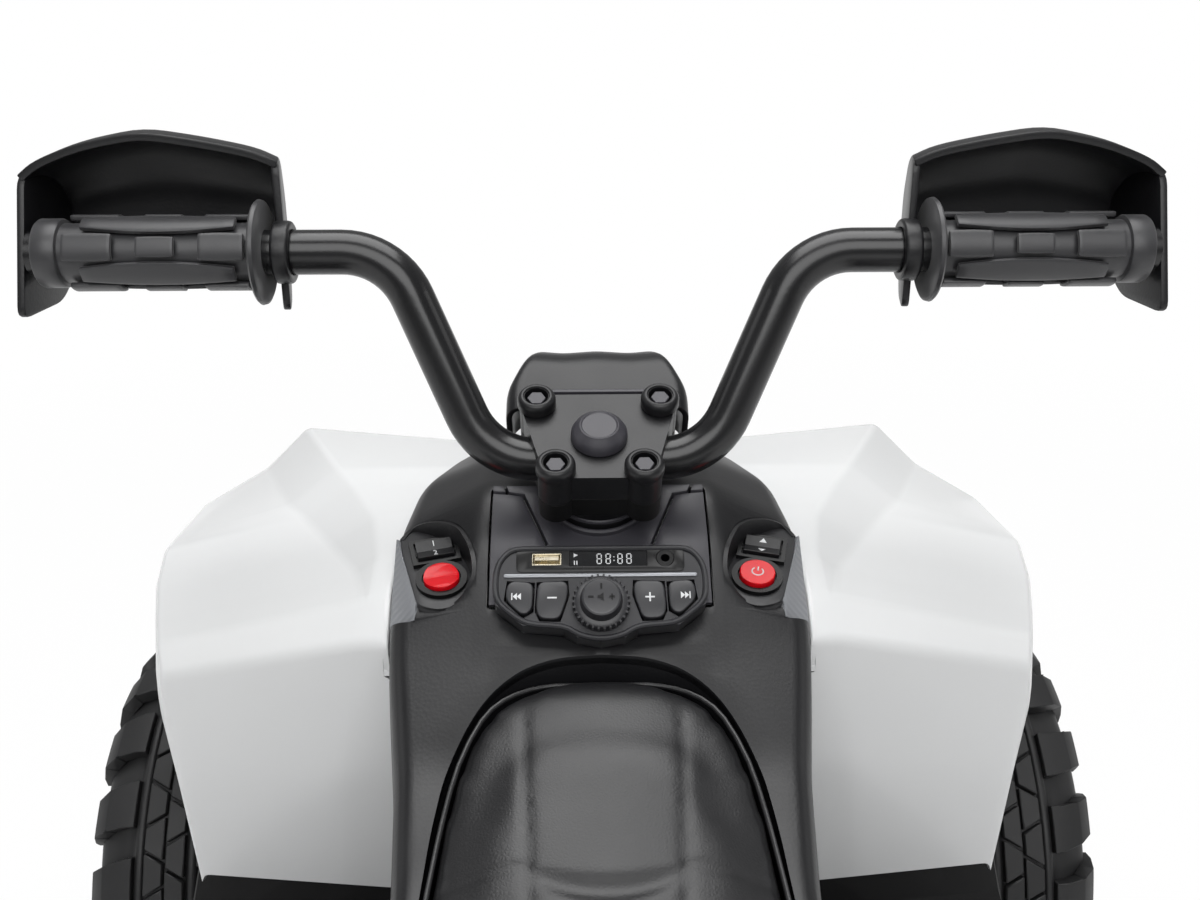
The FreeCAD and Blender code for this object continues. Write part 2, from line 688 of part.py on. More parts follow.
def console_outline(grow):
    half = CONSOLE_HALF + grow
    points = [(0.0, 1.0), (0.86, 1.0), (0.98, 0.62), (1.0, 0.1), (0.97, -0.415), (0.72, -0.907),
              (0.34, -0.985), (0.22, -1.19), (0.0, -1.295)]
    side = [(half * x, CONSOLE_TOP * w + (grow if w > 0 else -grow)) for x, w in points]
    return side + [(-x, w) for x, w in reversed(side[1:-1])]


def switch_frame(shape, sign):
    turned = shape.copy()
    turned.rotate(V(0, 0, 0), V(0, 0, 1), -SWITCH_TURN)
    placed = tilted(turned, V(SWITCH_X, SWITCH_Y, SWITCH_Z), SWITCH_TILT)
    return placed if sign > 0 else mirrored(placed)


# Plan of a switch plate, its outer front corner clipped to stay inside the tank's shoulder
def switch_outline(grow):
    wide = SWITCH_WIDE / 2.0 + grow
    long = SWITCH_LONG / 2.0 + grow
    return [(-wide, -long), (wide, -long), (wide, long - SWITCH_CLIP),
            (wide - SWITCH_CLIP, long), (-wide, long)]


def switch_pocket(sign):
    low = -SWITCH_THICK - FIT_GAP
    return switch_frame(plate(switch_outline(FIT_GAP), low, 4.0 * SWITCH_THICK), sign)


def make_tank():
    shell = panel([tank_row(s) for s in TANK_STATIONS], TANK_WALL)
    shell = shell.cut(seat_well())
    shell = shell.cut(rod(column_point(0.0), column_point(3.0 * COLLAR_TOP), COLLAR_RADIUS + SEAT_GAP))
    shell = shell.cut(on_console(plate(console_outline(SEAT_GAP), -2.0 * CONSOLE_DEPTH, CONSOLE_DEPTH)))
    for sign in (-1, 1):
        shell = shell.cut(switch_pocket(sign))
    return shell


def make_dash_panel():
    low = []
    for place, _, _, crown in TANK_STATIONS:
        if DASH_PANEL_REAR < place < DASH_PANEL_FRONT:
            low.append((DASH_Y + place, DASH_Z + crown + SEAT_GAP))
    high = [(y, z + DASH_PANEL_THICK) for y, z in reversed(low)]
    points = [V(-DASH_PANEL_HALF, y, z) for y, z in low + high]
    slab = Part.Face(Part.makePolygon(points + points[:1])).extrude(V(2.0 * DASH_PANEL_HALF, 0, 0))
    slab = slab.cut(rod(column_point(0.0), column_point(3.0 * COLLAR_TOP), COLLAR_RADIUS + SEAT_GAP))
    return slab.cut(on_console(plate(console_outline(SEAT_GAP), -2.0 * CONSOLE_DEPTH, CONSOLE_DEPTH)))


def make_bushes():
    collar = ring(column_point(COLLAR_TOP), column_point(COLLAR_TOP + COLLAR_LENGTH), COLLAR_RADIUS,
                  NECK_RADIUS + RUN_GAP)
    middle = COLUMN_LENGTH - BUSH_ABOVE_FOOT
    upper = column_point(middle - BUSH_LENGTH / 2.0)
    lower = column_point(middle + BUSH_LENGTH / 2.0)
    bush = ring(upper, lower, BUSH_RADIUS, COLUMN_RADIUS + RUN_GAP)
    return Part.makeCompound([collar, bush])


# Front fender, right side, by rows from the nose to the foot of the rear face.
# Each row has its place from the axle at the inner and outer edge, the inner height, then width
# share and height below the crest for the crest line, the valley line, the outer edge and the skirt
FENDER_ROWS = [
    (132.0, 132.0, 66.0, (0.49, 58.0), (0.68, 76.0), (0.81, 98.0), (0.82, 120.0)),
    (80.0, 80.0, 40.0, (0.66, 30.0), (0.82, 46.0), (0.96, 70.0), (0.98, 102.0)),
    (10.0, 10.0, 11.0, (0.72, 0.0), (0.83, 27.0), (1.0, 52.0), (1.024, 92.0)),
    (-58.0, -58.0, 0.0, (0.59, 0.5), (0.71, 24.0), (0.996, 45.0), (1.02, 88.0)),
    (-80.0, -74.0, 0.5, (0.545, 1.5), (0.66, 23.0), (0.988, 42.0), (1.012, 87.0)),
    (-120.0, -106.0, 0.0, (0.47, 3.0), (0.575, 20.0), (0.967, 47.0), (0.988, 85.0)),
    (-160.0, -134.0, 5.0, (0.44, 7.0), (0.49, 17.0), (0.934, 52.0), (0.95, 84.0)),
    (-190.0, -156.0, 14.0, (0.435, 15.0), (0.455, 16.0), (0.906, 56.0), (0.918, 86.0)),
    (-208.0, -168.0, 28.0, (0.435, 29.0), (0.455, 30.0), (0.889, 67.0), (0.898, 90.0)),
    (-203.0, -173.0, 102.0, (0.46, 104.0), (0.50, 105.0), (0.865, 115.0), (0.873, 125.0)),
    (-194.0, -179.0, 179.0, (0.48, 179.0), (0.53, 179.0), (0.836, 179.0), (0.844, 184.0)),
]


def make_fender():
    rows = []
    for place_in, place_out, drop, *others in FENDER_ROWS:
        y_in = FRONT_Y + place_in
        y_out = FRONT_Y + place_out
        if y_in > DASH_Y + TANK_STATIONS[0][0]:
            inner = NOSE_HALF
        elif drop > 25.0:
            inner = TANK_HALF
        else:
            inner = tank_half(y_in)
        inner += FIT_GAP
        row = [V(inner, y_in, FENDER_CREST - drop)]
        for share, low in others:
            x = share * FENDER_OUT
            y = y_in + (y_out - y_in) * min(1.0, (x - inner) / (0.9 * FENDER_OUT - inner))
            row.append(V(x, y, FENDER_CREST - low))
        rows.append(row)
    return panel(rows, PANEL, level=(0,))


# Rear fender, right side, from the foot of its front face to the tail: place from the axle as a
# share of the tyre's radius, then heights below the crest and width shares
REAR_FENDER_ROWS = [
    (1.127, 195.0, (0.55, 195.0), (0.90, 195.0), (0.92, 200.0)),
    (1.070, 120.0, (0.56, 120.0), (0.93, 124.0), (0.95, 132.0)),
    (1.014, 52.0, (0.58, 50.0), (0.955, 66.0), (0.975, 92.0)),
    (0.845, 30.0, (0.60, 24.0), (0.97, 46.0), (0.995, 88.0)),
    (0.408, 16.0, (0.64, 6.0), (0.99, 30.0), (1.015, 80.0)),
    (-0.070, 12.0, (0.66, 0.0), (1.0, 25.0), (1.025, 78.0)),
    (-0.563, 16.0, (0.64, 8.0), (0.98, 34.0), (1.0, 82.0)),
    (-0.901, 34.0, (0.61, 30.0), (0.93, 56.0), (0.945, 96.0)),
    (-1.042, 66.0, (0.58, 66.0), (0.87, 88.0), (0.88, 112.0)),
]


def make_rear_fender():
    rows = []
    for place, drop, *others in REAR_FENDER_ROWS:
        y = REAR_Y + place * TYRE_RADIUS
        row = [V(TAIL_HALF + FIT_GAP, y, REAR_FENDER_CREST - drop)]
        row += [V(share * REAR_FENDER_OUT, y, REAR_FENDER_CREST - low) for share, low in others]
        rows.append(row)
    return panel(rows, PANEL, level=(0,))


# Nose stations: place ahead of the tank cover, half width share, foot, shoulder and crown heights
NOSE_STATIONS = [
    (214.0, 0.74, 246.0, 252.0, 256.0),
    (206.0, 0.80, 240.0, 300.0, 312.0),
    (186.0, 0.90, 238.0, 352.0, 368.0),
    (137.0, 1.0, TANK_BOTTOM, 402.0, 415.0),
    (68.0, 1.0, TANK_BOTTOM, 436.0, 446.0),
    (0.0, 1.0, TANK_BOTTOM, 447.0, 455.0),
]


def make_nose():
    start = DASH_Y + TANK_STATIONS[0][0] + FIT_GAP
    rows = []
    for place, share, foot, shoulder, crown in NOSE_STATIONS:
        half = NOSE_HALF * share
        points = [(half, foot), (half, foot + 0.6 * (shoulder - foot)), (half - 1.0, shoulder - 4.0),
                  (half - 8.0, shoulder), (0.45 * half, crown), (0.0, crown)]
        rows.append(mirrored_row(points, start + place))
    return panel(rows, PANEL)


TAIL_Y = DASH_Y + TANK_STATIONS[-1][0]


# Tail stations: place behind the tank cover, half width share, foot and shoulder heights
TAIL_STATIONS = [
    (0.0, 0.96, TANK_BOTTOM, 340.0),
    (60.0, 1.0, TANK_BOTTOM, 345.0),
    (200.0, 1.0, TANK_BOTTOM, 352.0),
    (232.0, 1.0, TANK_BOTTOM, 356.0),
    (262.0, 0.96, TUB_RIM + 4.0, 360.0),
    (292.0, 0.84, TUB_RIM + 6.0, 352.0),
    (302.0, 0.78, TUB_RIM + 8.0, 336.0),
    (305.0, 0.74, TUB_RIM + 12.0, 270.0),
]


def make_tail():
    rows = []
    for place, share, foot, shoulder in TAIL_STATIONS:
        half = max(TAIL_HALF * share, 20.0)
        points = [(half, foot), (half, foot + 0.6 * (shoulder - foot)), (half - 1.0, shoulder - 5.0),
                  (half - 6.0, shoulder), (0.5 * half, shoulder + 1.0), (0.0, shoulder + 1.0)]
        rows.append(mirrored_row(points, TAIL_Y - FIT_GAP - place))
    return panel(rows, TANK_WALL).cut(seat_well())


# Seat pan and cushion
def seat_section(y, half, low, side, top):
    corners = [V(-half * 0.95, y, low), V(half * 0.95, y, low), V(half, y, side), V(-half, y, side)]
    bottom = Part.makeLine(corners[0], corners[1])
    right = Part.makeLine(corners[1], corners[2])
    crown = Part.Arc(corners[2], V(0, y, top), corners[3]).toShape()
    left = Part.makeLine(corners[3], corners[0])
    return Part.Wire([bottom, right, crown, left])


def make_cushion():
    wires = []
    for y, half, top in SEAT_STATIONS:
        rise = min(0.3 * half, 0.32 * SEAT_THICK)
        wires.append(seat_section(y, half, top - SEAT_THICK, top - rise, top))
    cushion = Part.makeLoft(wires, True, True)
    channels = []
    for sign in (-1, 1):
        for near, far in zip(SEAT_STATIONS[2:-3], SEAT_STATIONS[3:-2]):
            crease = []
            for y, half, top in (near, far):
                rise = min(0.3 * half, 0.32 * SEAT_THICK)
                x = sign * CREASE_X
                z = top - rise * (x / half) ** 2
                edge = z + 0.5 * CREASE_DEPTH
                points = [V(x - CREASE_HALF, y, edge), V(x, y, z - CREASE_DEPTH),
                          V(x + CREASE_HALF, y, edge)]
                crease.append(Part.makePolygon(points + points[:1]))
            channels.append(Part.makeLoft(crease, True, True))
    return cushion.cut(channels)


def make_pan():
    wires = []
    for y, half, top in SEAT_STATIONS:
        low = top - SEAT_THICK - SEAT_GAP
        edge = 0.93 * half
        base = low - PAN_THICK
        corners = [V(-edge, y, base), V(edge, y, base), V(edge, y, low), V(-edge, y, low)]
        wires.append(Part.makePolygon(corners + corners[:1]))
    return Part.makeLoft(wires, True, True)


# Footrest rows, right side: the tyre's edge it keeps to, place from there at the inner edge, slant
# to the outer edge, height above the tread, outer width share
FOOT_ROWS = [
    (FRONT_Y - TYRE_RADIUS, -45.0, 14.0, 126.0, 0.76),
    (FRONT_Y - TYRE_RADIUS, -48.0, 12.0, 90.0, 0.79),
    (FRONT_Y - TYRE_RADIUS, -54.0, 6.0, 52.0, 0.83),
    (FRONT_Y - TYRE_RADIUS, -66.0, 0.0, 20.0, 0.88),
    (FRONT_Y - TYRE_RADIUS, -88.0, 0.0, 3.0, 0.93),
    (0.09 * FRONT_Y, 0.0, 0.0, 0.0, 0.985),
    (0.19 * REAR_Y, 0.0, 0.0, 0.0, 1.0),
    (REAR_Y + TYRE_RADIUS, 53.0, 0.0, 3.0, 0.965),
    (REAR_Y + TYRE_RADIUS, 30.0, 0.0, 25.0, 0.885),
    (REAR_Y + TYRE_RADIUS, 22.0, 0.0, 50.0, 0.85),
]


def make_footrest():
    rows = []
    for edge, reach, slant, rise, share in FOOT_ROWS:
        place = edge + reach
        z = FOOT_Z + rise
        inner = TUB_HALF + FIT_GAP
        if z > TANK_BOTTOM - 10.0:
            inner = TANK_HALF + FIT_GAP
        outer = share * FOOT_OUT
        row = []
        for across in (0.0, 0.4, 0.75, 1.0):
            row.append(V(inner + across * (outer - inner), place + across * slant, z))
        row.append(V(outer + FOOT_LIP / 3.0, place + slant, z - FOOT_LIP))
        rows.append(row)
    return panel(rows, FOOT_WALL)


def pedal_centre():
    return V(PEDAL_X, PEDAL_Y, FOOT_Z + PEDAL_RAISE)


def pedal_lugs():
    c = pedal_centre()
    half = PEDAL_WIDE / 2.0
    lugs = []
    for sign in (-1, 1):
        side = half + MOVE_GAP
        near, far = sorted((c.x + sign * side, c.x + sign * (side + PEDAL_LUG)))
        lug = box(near, far, c.y - PEDAL_LUG_HALF, c.y + PEDAL_LUG_HALF, FOOT_Z - 0.5 * FOOT_WALL,
                  c.z + PEDAL_HUB_RADIUS)
        bore = rod(V(near - 1.0, c.y, c.z), V(far + 1.0, c.y, c.z), PEDAL_PIN_RADIUS + RUN_GAP)
        lugs.append(lug.cut(bore))
    return lugs


def make_pedal():
    half = PEDAL_WIDE / 2.0
    hub = rod(V(-half, 0, 0), V(half, 0, 0), PEDAL_HUB_RADIUS)
    reach = half + MOVE_GAP + PEDAL_LUG
    pin = rod(V(-reach, 0, 0), V(reach, 0, 0), PEDAL_PIN_RADIUS)
    pad = box(-half, half, 0, PEDAL_LONG, 1.0, 1.0 + PEDAL_THICK)
    ribs = []
    for n in range(PEDAL_RIBS):
        y = PEDAL_LONG * (0.24 + 0.8 * n / PEDAL_RIBS)
        top = PEDAL_THICK + 0.75 * PEDAL_RIB
        ribs.append(box(-0.84 * half, 0.84 * half, y, y + PEDAL_RIB, PEDAL_THICK, top))
    return tilted(hub.fuse([pin, pad] + ribs).removeSplitter(), pedal_centre(), PEDAL_SLOPE)


# Handlebar group
def make_handlebar():
    right = [V(BAR_LOW_X, BAR_Y, BAR_Z), V(BAR_HIGH_X, GRIP_Y, GRIP_Z), V(BAR_END_X, GRIP_Y, GRIP_Z)]
    left = [V(-p.x, p.y, p.z) for p in reversed(right)]
    return bent_tube(left + right, BAR_RADIUS, BAR_BEND, BAR_WALL)


def make_grip():
    start = V(GRIP_IN, GRIP_Y, GRIP_Z)
    end = V(GRIP_OUT, GRIP_Y, GRIP_Z)
    body = rod(start, end, GRIP_RADIUS)
    collar = rod(end.sub(V(GRIP_COLLAR, 0, 0)), end, GRIP_COLLAR_RADIUS)
    disc = rod(start, start.add(V(GRIP_DISC, 0, 0)), GRIP_DISC_RADIUS)
    whole = body.fuse([collar, disc]).removeSplitter()
    return whole.cut(rod(start.sub(V(1, 0, 0)), end.add(V(1, 0, 0)), BAR_RADIUS + RUN_GAP))


# Hand guard, right side: place outward from the inner plate and share of the full height
GUARD_STATIONS = [(0.0, 0.75), (0.09, 0.84), (0.30, 0.93), (0.52, 1.0),
                  (0.76, 0.90), (0.93, 0.76), (1.0, 0.64)]


def make_guard():
    d = GUARD_DEPTH
    lead = GUARD_SLANT * (GRIP_DISC_RADIUS - GUARD_REAR) / d
    inner = GRIP_IN - FIT_GAP - GUARD_WALL - lead
    outer = BAR_END_X + FIT_GAP + GUARD_WALL
    rows = []
    for place, share in GUARD_STATIONS:
        top = GUARD_TOP * share
        section = [(0.66 * d, -0.8 * GUARD_DROP), (0.95 * d, -0.2 * GUARD_DROP), (d, 0.45 * top),
                   (0.72 * d, 0.84 * top), (0.4 * d, 0.97 * top), (GUARD_REAR, 0.95 * top)]
        row = []
        for y, z in section:
            lean = GUARD_SLANT * (1.0 - 1.6 * place) * (y - GUARD_REAR) / d
            row.append(V(inner + place * (outer - inner) + lean, GRIP_Y + y, GRIP_Z + z))
        rows.append(row)
    shell = panel(list(reversed(rows)), GUARD_WALL)
    plates = []
    for row, way in ((rows[0], GUARD_WALL), (rows[-1], -GUARD_WALL)):
        foot = V(row[-1].x, row[-1].y, GRIP_Z - GUARD_DROP)
        outline = row + [foot]
        plates.append(Part.Face(Part.makePolygon(outline + outline[:1])).extrude(V(way, 0, 0)))
    centre = V(inner, GRIP_Y, GRIP_Z)
    boss = rod(centre.sub(V(GUARD_BOSS, 0, 0)), centre.add(V(GUARD_WALL, 0, 0)), GUARD_BOSS_RADIUS)
    end = rod(V(outer - GUARD_WALL, GRIP_Y, GRIP_Z), V(outer, GRIP_Y, GRIP_Z), BAR_RADIUS)
    whole = shell.fuse(plates + [boss, end]).removeSplitter()
    start = centre.sub(V(2.0 * GUARD_BOSS, 0, 0))
    return whole.cut(rod(start, centre.add(V(2.0 * GUARD_WALL, 0, 0)), BAR_RADIUS + SEAT_GAP))


def clamp_bolts_at():
    reach = CLAMP_BOLT_REACH
    return [(-CLAMP_BOLT_FRONT_X, reach), (CLAMP_BOLT_FRONT_X, reach),
            (-CLAMP_BOLT_REAR_X, -reach), (CLAMP_BOLT_REAR_X, -reach)]


def clamp_body(low, high, boss_high):
    r = BOSS_RADIUS
    front = CLAMP_BOLT_FRONT_X + 0.55 * r
    rear = CLAMP_BOLT_REAR_X + 0.55 * r
    reach = CLAMP_BOLT_REACH
    outline = [(-front, reach + 0.9 * r), (front, reach + 0.9 * r), (front + 0.4 * r, reach),
               (rear, -reach - 0.5 * r), (-rear, -reach - 0.5 * r), (-front - 0.4 * r, reach)]
    bosses = [rod(V(x, y, low), V(x, y, boss_high), r) for x, y in clamp_bolts_at()]
    body = plate(outline, low, high).fuse(bosses).removeSplitter()
    across = 2.0 * front
    return body.cut(rod(V(-across, 0, 0), V(across, 0, 0), BAR_RADIUS + SEAT_GAP))


def make_clamp():
    cap = clamp_body(SEAT_GAP, CLAMP_HALF, CLAMP_HALF + BOSS_RAISE)
    block = clamp_body(-STEM_DROP, -SEAT_GAP, -SEAT_GAP)
    bolts = []
    seat = CLAMP_HALF + BOSS_RAISE - BOLT_HEAD - 1.0
    for x, y in clamp_bolts_at():
        hole = rod(V(x, y, 2.0 - STEM_DROP), V(x, y, 2.0 * CLAMP_HALF), BOLT_RADIUS + SEAT_GAP)
        sink = rod(V(x, y, seat), V(x, y, 2.0 * CLAMP_HALF), BOLT_SINK_RADIUS)
        cap = cap.cut(hole).cut(sink)
        block = block.cut(hole)
        corners = []
        for n in range(6):
            turn = n * math.pi / 3.0
            corners.append((x + BOLT_HEAD_RADIUS * math.cos(turn), y + BOLT_HEAD_RADIUS * math.sin(turn)))
        shank = rod(V(x, y, 2.0 - STEM_DROP + SEAT_GAP), V(x, y, seat + 1.0), BOLT_RADIUS)
        bolts.append(plate(corners, seat + SEAT_GAP, seat + BOLT_HEAD).fuse(shank).removeSplitter())
    return on_column(cap), on_column(block), on_column(Part.makeCompound(bolts))


def make_dome():
    base = CLAMP_HALF + SEAT_GAP
    dome = Part.makeCone(DOME_RADIUS, 0.62 * DOME_RADIUS, DOME_HEIGHT, V(0, 0, base))
    top = [e for e in dome.Edges if e.Closed and e.BoundBox.ZMin > base + 1.0]
    return on_column(dome.makeFillet(DOME_HEIGHT / 5.0, top))


# Pod rows ahead of the clamp: place and height in the column frame, half width share, side depth
POD_ROWS = [
    (31.0, 3.0, 1.0, 25.0),
    (45.0, 6.0, 1.0, 34.0),
    (60.0, 8.0, 0.86, 43.0),
    (68.0, 5.0, 0.80, 42.0),
    (82.0, -6.0, 0.74, 30.0),
    (92.0, -20.0, 0.66, 14.0),
]


def make_pod():
    rows = []
    for place, high, share, deep in reversed(POD_ROWS):
        half = POD_HALF * share
        points = [(half, high - deep), (half, high - 1.6 * POD_WALL), (0.9 * half, high),
                  (0.5 * half, high - 0.5 * POD_WALL), (0.0, high)]
        rows.append(mirrored_row(points, place))
    hood = panel(rows, POD_WALL)
    reach = CLAMP_BOLT_REACH + 0.9 * BOSS_RADIUS
    side = 0.3 * POD_HALF
    tongue = box(-side, side, reach + SEAT_GAP, POD_ROWS[1][0], -POD_WALL, 0.5 * POD_WALL)
    return on_column(hood.fuse(tongue).removeSplitter())


def make_column():
    top = -STEM_DROP - SEAT_GAP
    neck_end = -COLLAR_TOP - COLLAR_LENGTH - 6.0
    neck = rod(V(0, 0, neck_end), V(0, 0, top), NECK_RADIUS)
    shaft = rod(V(0, 0, -COLUMN_LENGTH - CRANK_THICK), V(0, 0, neck_end), COLUMN_RADIUS)
    low = -COLUMN_LENGTH - CRANK_THICK
    crank = box(-0.9 * COLUMN_RADIUS, 0.9 * COLUMN_RADIUS, -CRANK, 0, low, -COLUMN_LENGTH)
    eye = rod(V(0, -CRANK, low), V(0, -CRANK, -COLUMN_LENGTH), 0.9 * COLUMN_RADIUS)
    pin = rod(V(0, -CRANK, low - CRANK_PIN), V(0, -CRANK, low), CRANK_PIN_RADIUS)
    return on_column(neck.fuse([shaft, crank, eye, pin]).removeSplitter())


# Console: outlines in its own frame, across and up the face
STRIP_W = 13.4
USB_X = -24.0
AUX_X = 29.0
WINDOW_X = 3.6
WINDOW_WIDE = 34.8
WINDOW_TALL = 7.4
WINDOW_THICK = 1.6
BUTTON_OUTLINES = [
    ("outer", [(0.62, 1.8), (0.86, 2.6), (0.885, -6.0), (0.72, -13.6), (0.63, -11.0)]),
    ("inner", [(0.31, 2.6), (0.585, 2.0), (0.60, -11.0), (0.56, -15.0), (0.38, -15.4), (0.30, -4.0)]),
]


def scaled_outline(outline, grow, sign):
    points = [(CONSOLE_HALF * x, w) for x, w in outline]
    cx = sum(x for x, _ in points) / len(points)
    cw = sum(w for _, w in points) / len(points)
    size = max(math.hypot(x - cx, w - cw) for x, w in points)
    spread = 1.0 + 1.9 * grow / size
    return [(sign * (cx + (x - cx) * spread), cw + (w - cw) * spread) for x, w in points]


# A block on the line of the console's top strip
def strip_block(x, wide, tall, grow, low, high):
    side = wide / 2.0 + grow
    half = tall / 2.0 + grow
    return box(x - side, x + side, STRIP_W - half, STRIP_W + half, low, high)


def make_console():
    face = CONSOLE_RAISE
    body = plate(console_outline(0.0), -CONSOLE_DEPTH, face)
    for _, outline in BUTTON_OUTLINES:
        for sign in (-1, 1):
            body = body.cut(plate(scaled_outline(outline, FIT_GAP, sign), face - BUTTON_DEEP, face + 1.0))
    knob_end = V(0, KNOB_W, face - KNOB_SHAFT - MOVE_GAP)
    knob = rod(knob_end, V(0, KNOB_W, face + 1.0), KNOB_SHAFT_RADIUS + RUN_GAP)
    usb = strip_block(USB_X, USB_WIDTH, USB_HEIGHT, SEAT_GAP, face - USB_DEEP - MOVE_GAP, face + 1.0)
    aux_end = V(AUX_X, STRIP_W, face - AUX_BODY - MOVE_GAP)
    aux = rod(aux_end, V(AUX_X, STRIP_W, face + 1.0), AUX_BODY_RADIUS + SEAT_GAP)
    low = face - WINDOW_THICK - SEAT_GAP
    window = strip_block(WINDOW_X, WINDOW_WIDE, WINDOW_TALL, SEAT_GAP, low, face + 1.0)
    return on_console(body.cut(knob).cut(usb).cut(aux).cut(window))


def make_window():
    top = CONSOLE_RAISE
    return on_console(strip_block(WINDOW_X, WINDOW_WIDE, WINDOW_TALL, 0.0, top - WINDOW_THICK, top))


def make_usb():
    top = CONSOLE_RAISE
    w = USB_WIDTH / 2.0 - 2.4 * USB_WALL
    h = USB_HEIGHT / 2.0 - 1.2 * USB_WALL
    floor = top - USB_DEEP + 4.0 * USB_WALL
    shell = strip_block(USB_X, USB_WIDTH, USB_HEIGHT, 0.0, top - USB_DEEP, top)
    hollow = strip_block(USB_X, USB_WIDTH, USB_HEIGHT, -USB_WALL, floor, top + 1.0)
    tongue = box(USB_X - w, USB_X + w, STRIP_W + 0.4 * USB_WALL, STRIP_W + h,
                 floor - USB_WALL, top - 3.0 * USB_WALL)
    return on_console(shell.cut(hollow).fuse(tongue).removeSplitter())


def make_aux():
    top = CONSOLE_RAISE
    body = rod(V(AUX_X, STRIP_W, top - AUX_BODY), V(AUX_X, STRIP_W, top + AUX_LIP), AUX_BODY_RADIUS)
    floor = V(AUX_X, STRIP_W, top + AUX_LIP - AUX_DEPTH)
    return on_console(body.cut(rod(floor, V(AUX_X, STRIP_W, top + 2.0 * AUX_LIP), AUX_RADIUS)))


def make_button(outline, sign):
    top = CONSOLE_RAISE + BUTTON_RAISE
    low = CONSOLE_RAISE - BUTTON_DEEP + BUTTON_TRAVEL + FIT_GAP
    return on_console(plate(scaled_outline(outline, 0.0, sign), low, top))


def make_knob():
    low = CONSOLE_RAISE + FIT_GAP
    high = low + KNOB_HEIGHT
    base = Part.makeCone(KNOB_BASE_RADIUS, 0.86 * KNOB_BASE_RADIUS, KNOB_BASE, V(0, KNOB_W, low))
    top = rod(V(0, KNOB_W, low + KNOB_BASE), V(0, KNOB_W, high), KNOB_RADIUS)
    shaft = rod(V(0, KNOB_W, CONSOLE_RAISE - KNOB_SHAFT), V(0, KNOB_W, low), KNOB_SHAFT_RADIUS)
    half = 0.08 * KNOB_RADIUS
    near = KNOB_W + 0.45 * KNOB_RADIUS
    marker = box(-half, half, near, near + 0.5 * KNOB_RADIUS, high - half, high + half)
    return on_console(base.fuse([top, shaft, marker]).removeSplitter())


# Switch plates: each holds a rectangular rocker ahead and a round control behind
ROCKER_V = 0.23 * SWITCH_LONG
ROUND_V = -0.22 * SWITCH_LONG


# The pin a rocker tilts on, reaching a little way into the walls of its opening
def rocker_pin(side, v, longer, wider):
    reach = side + ROCKER_PIN + longer
    return rod(V(-reach, v, 0), V(reach, v, 0), ROCKER_PIN_RADIUS + wider)


def make_switch_plate(sign):
    hw = ROCKER_WIDE / 2.0 + MOVE_GAP
    hl = ROCKER_LONG / 2.0 + MOVE_GAP
    radius = ROUND_RADIUS + MOVE_GAP
    fw = hw + ROCKER_RIM
    fl = hl + ROCKER_RIM
    frame = box(-fw, fw, ROCKER_V - fl, ROCKER_V + fl, 0, ROCKER_RISE)
    bezel = rod(V(0, ROUND_V, 0), V(0, ROUND_V, ROCKER_RISE), radius + ROUND_RIM)
    body = plate(switch_outline(0.0), -SWITCH_THICK, 0).fuse([frame, bezel]).removeSplitter()
    low = -SWITCH_THICK + SWITCH_FLOOR
    high = 2.0 * ROCKER_RISE
    body = body.cut(box(-hw, hw, ROCKER_V - hl, ROCKER_V + hl, low, high))
    body = body.cut(rod(V(0, ROUND_V, low), V(0, ROUND_V, high), radius))
    body = body.cut(rocker_pin(hw, ROCKER_V, FIT_GAP, RUN_GAP))
    if sign < 0:
        body = body.cut(rocker_pin(radius, ROUND_V, FIT_GAP, RUN_GAP))
    return switch_frame(body, sign)


def make_rocker(sign):
    hw = ROCKER_WIDE / 2.0
    hl = ROCKER_LONG / 2.0
    low = -SWITCH_THICK + SWITCH_FLOOR + FIT_GAP + MOVE_GAP
    high = ROCKER_RISE + ROCKER_PEAK
    outline = [V(-hw, ROCKER_V - hl, low), V(-hw, ROCKER_V + hl, low), V(-hw, ROCKER_V + hl, high),
               V(-hw, ROCKER_V, ROCKER_RISE), V(-hw, ROCKER_V - hl, high)]
    body = Part.Face(Part.makePolygon(outline + outline[:1])).extrude(V(ROCKER_WIDE, 0, 0))
    pin = rocker_pin(hw + MOVE_GAP, ROCKER_V, 0.0, 0.0)
    return switch_frame(body.fuse(pin).removeSplitter(), sign)


def round_body(raise_by):
    low = -SWITCH_THICK + SWITCH_FLOOR + FIT_GAP + raise_by
    return rod(V(0, ROUND_V, low), V(0, ROUND_V, ROCKER_RISE + raise_by), ROUND_RADIUS)


def make_light_rocker():
    pin = rocker_pin(ROUND_RADIUS + MOVE_GAP, ROUND_V, 0.0, 0.0)
    return switch_frame(round_body(LIGHT_RAISE).fuse(pin).removeSplitter(), -1)


# Bumpers, lamps and battery
def make_front_bumper():
    x = 0.78 * TUB_NARROW
    wide = 1.5 * TUB_NARROW
    z = TUB_RIM - FRONT_ARM_BELOW_RIM
    y = DASH_Y + TANK_STATIONS[0][0] + FIT_GAP + NOSE_STATIONS[0][0] + BUMPER_AHEAD_OF_NOSE
    right = [V(wide, y, z + FRONT_HOOP), V(wide, y - FRONT_HOOP_LEAN, z + FRONT_HOOP_FOOT),
             V(x, TUB_FRONT + FRONT_ARM, z), V(x, TUB_FRONT, z)]
    left = [V(-p.x, p.y, p.z) for p in reversed(right)]
    return bent_tube(left + right, BUMPER_RADIUS, 2.0 * BUMPER_RADIUS, BUMPER_WALL)


def make_rear_bumper():
    x = 0.72 * TUB_HALF
    z = (TUB_FLOOR + TUB_RIM) / 2.0
    y = TAIL_Y - TAIL_STATIONS[-1][0] - BUMPER_BEHIND_TAIL
    right = [V(x, y, z + REAR_HOOP), V(x, y + REAR_HOOP_LEAN, z), V(x, TUB_REAR, z)]
    left = [V(-p.x, p.y, p.z) for p in reversed(right)]
    return bent_tube(left + right, BUMPER_RADIUS, 2.0 * BUMPER_RADIUS, BUMPER_WALL)


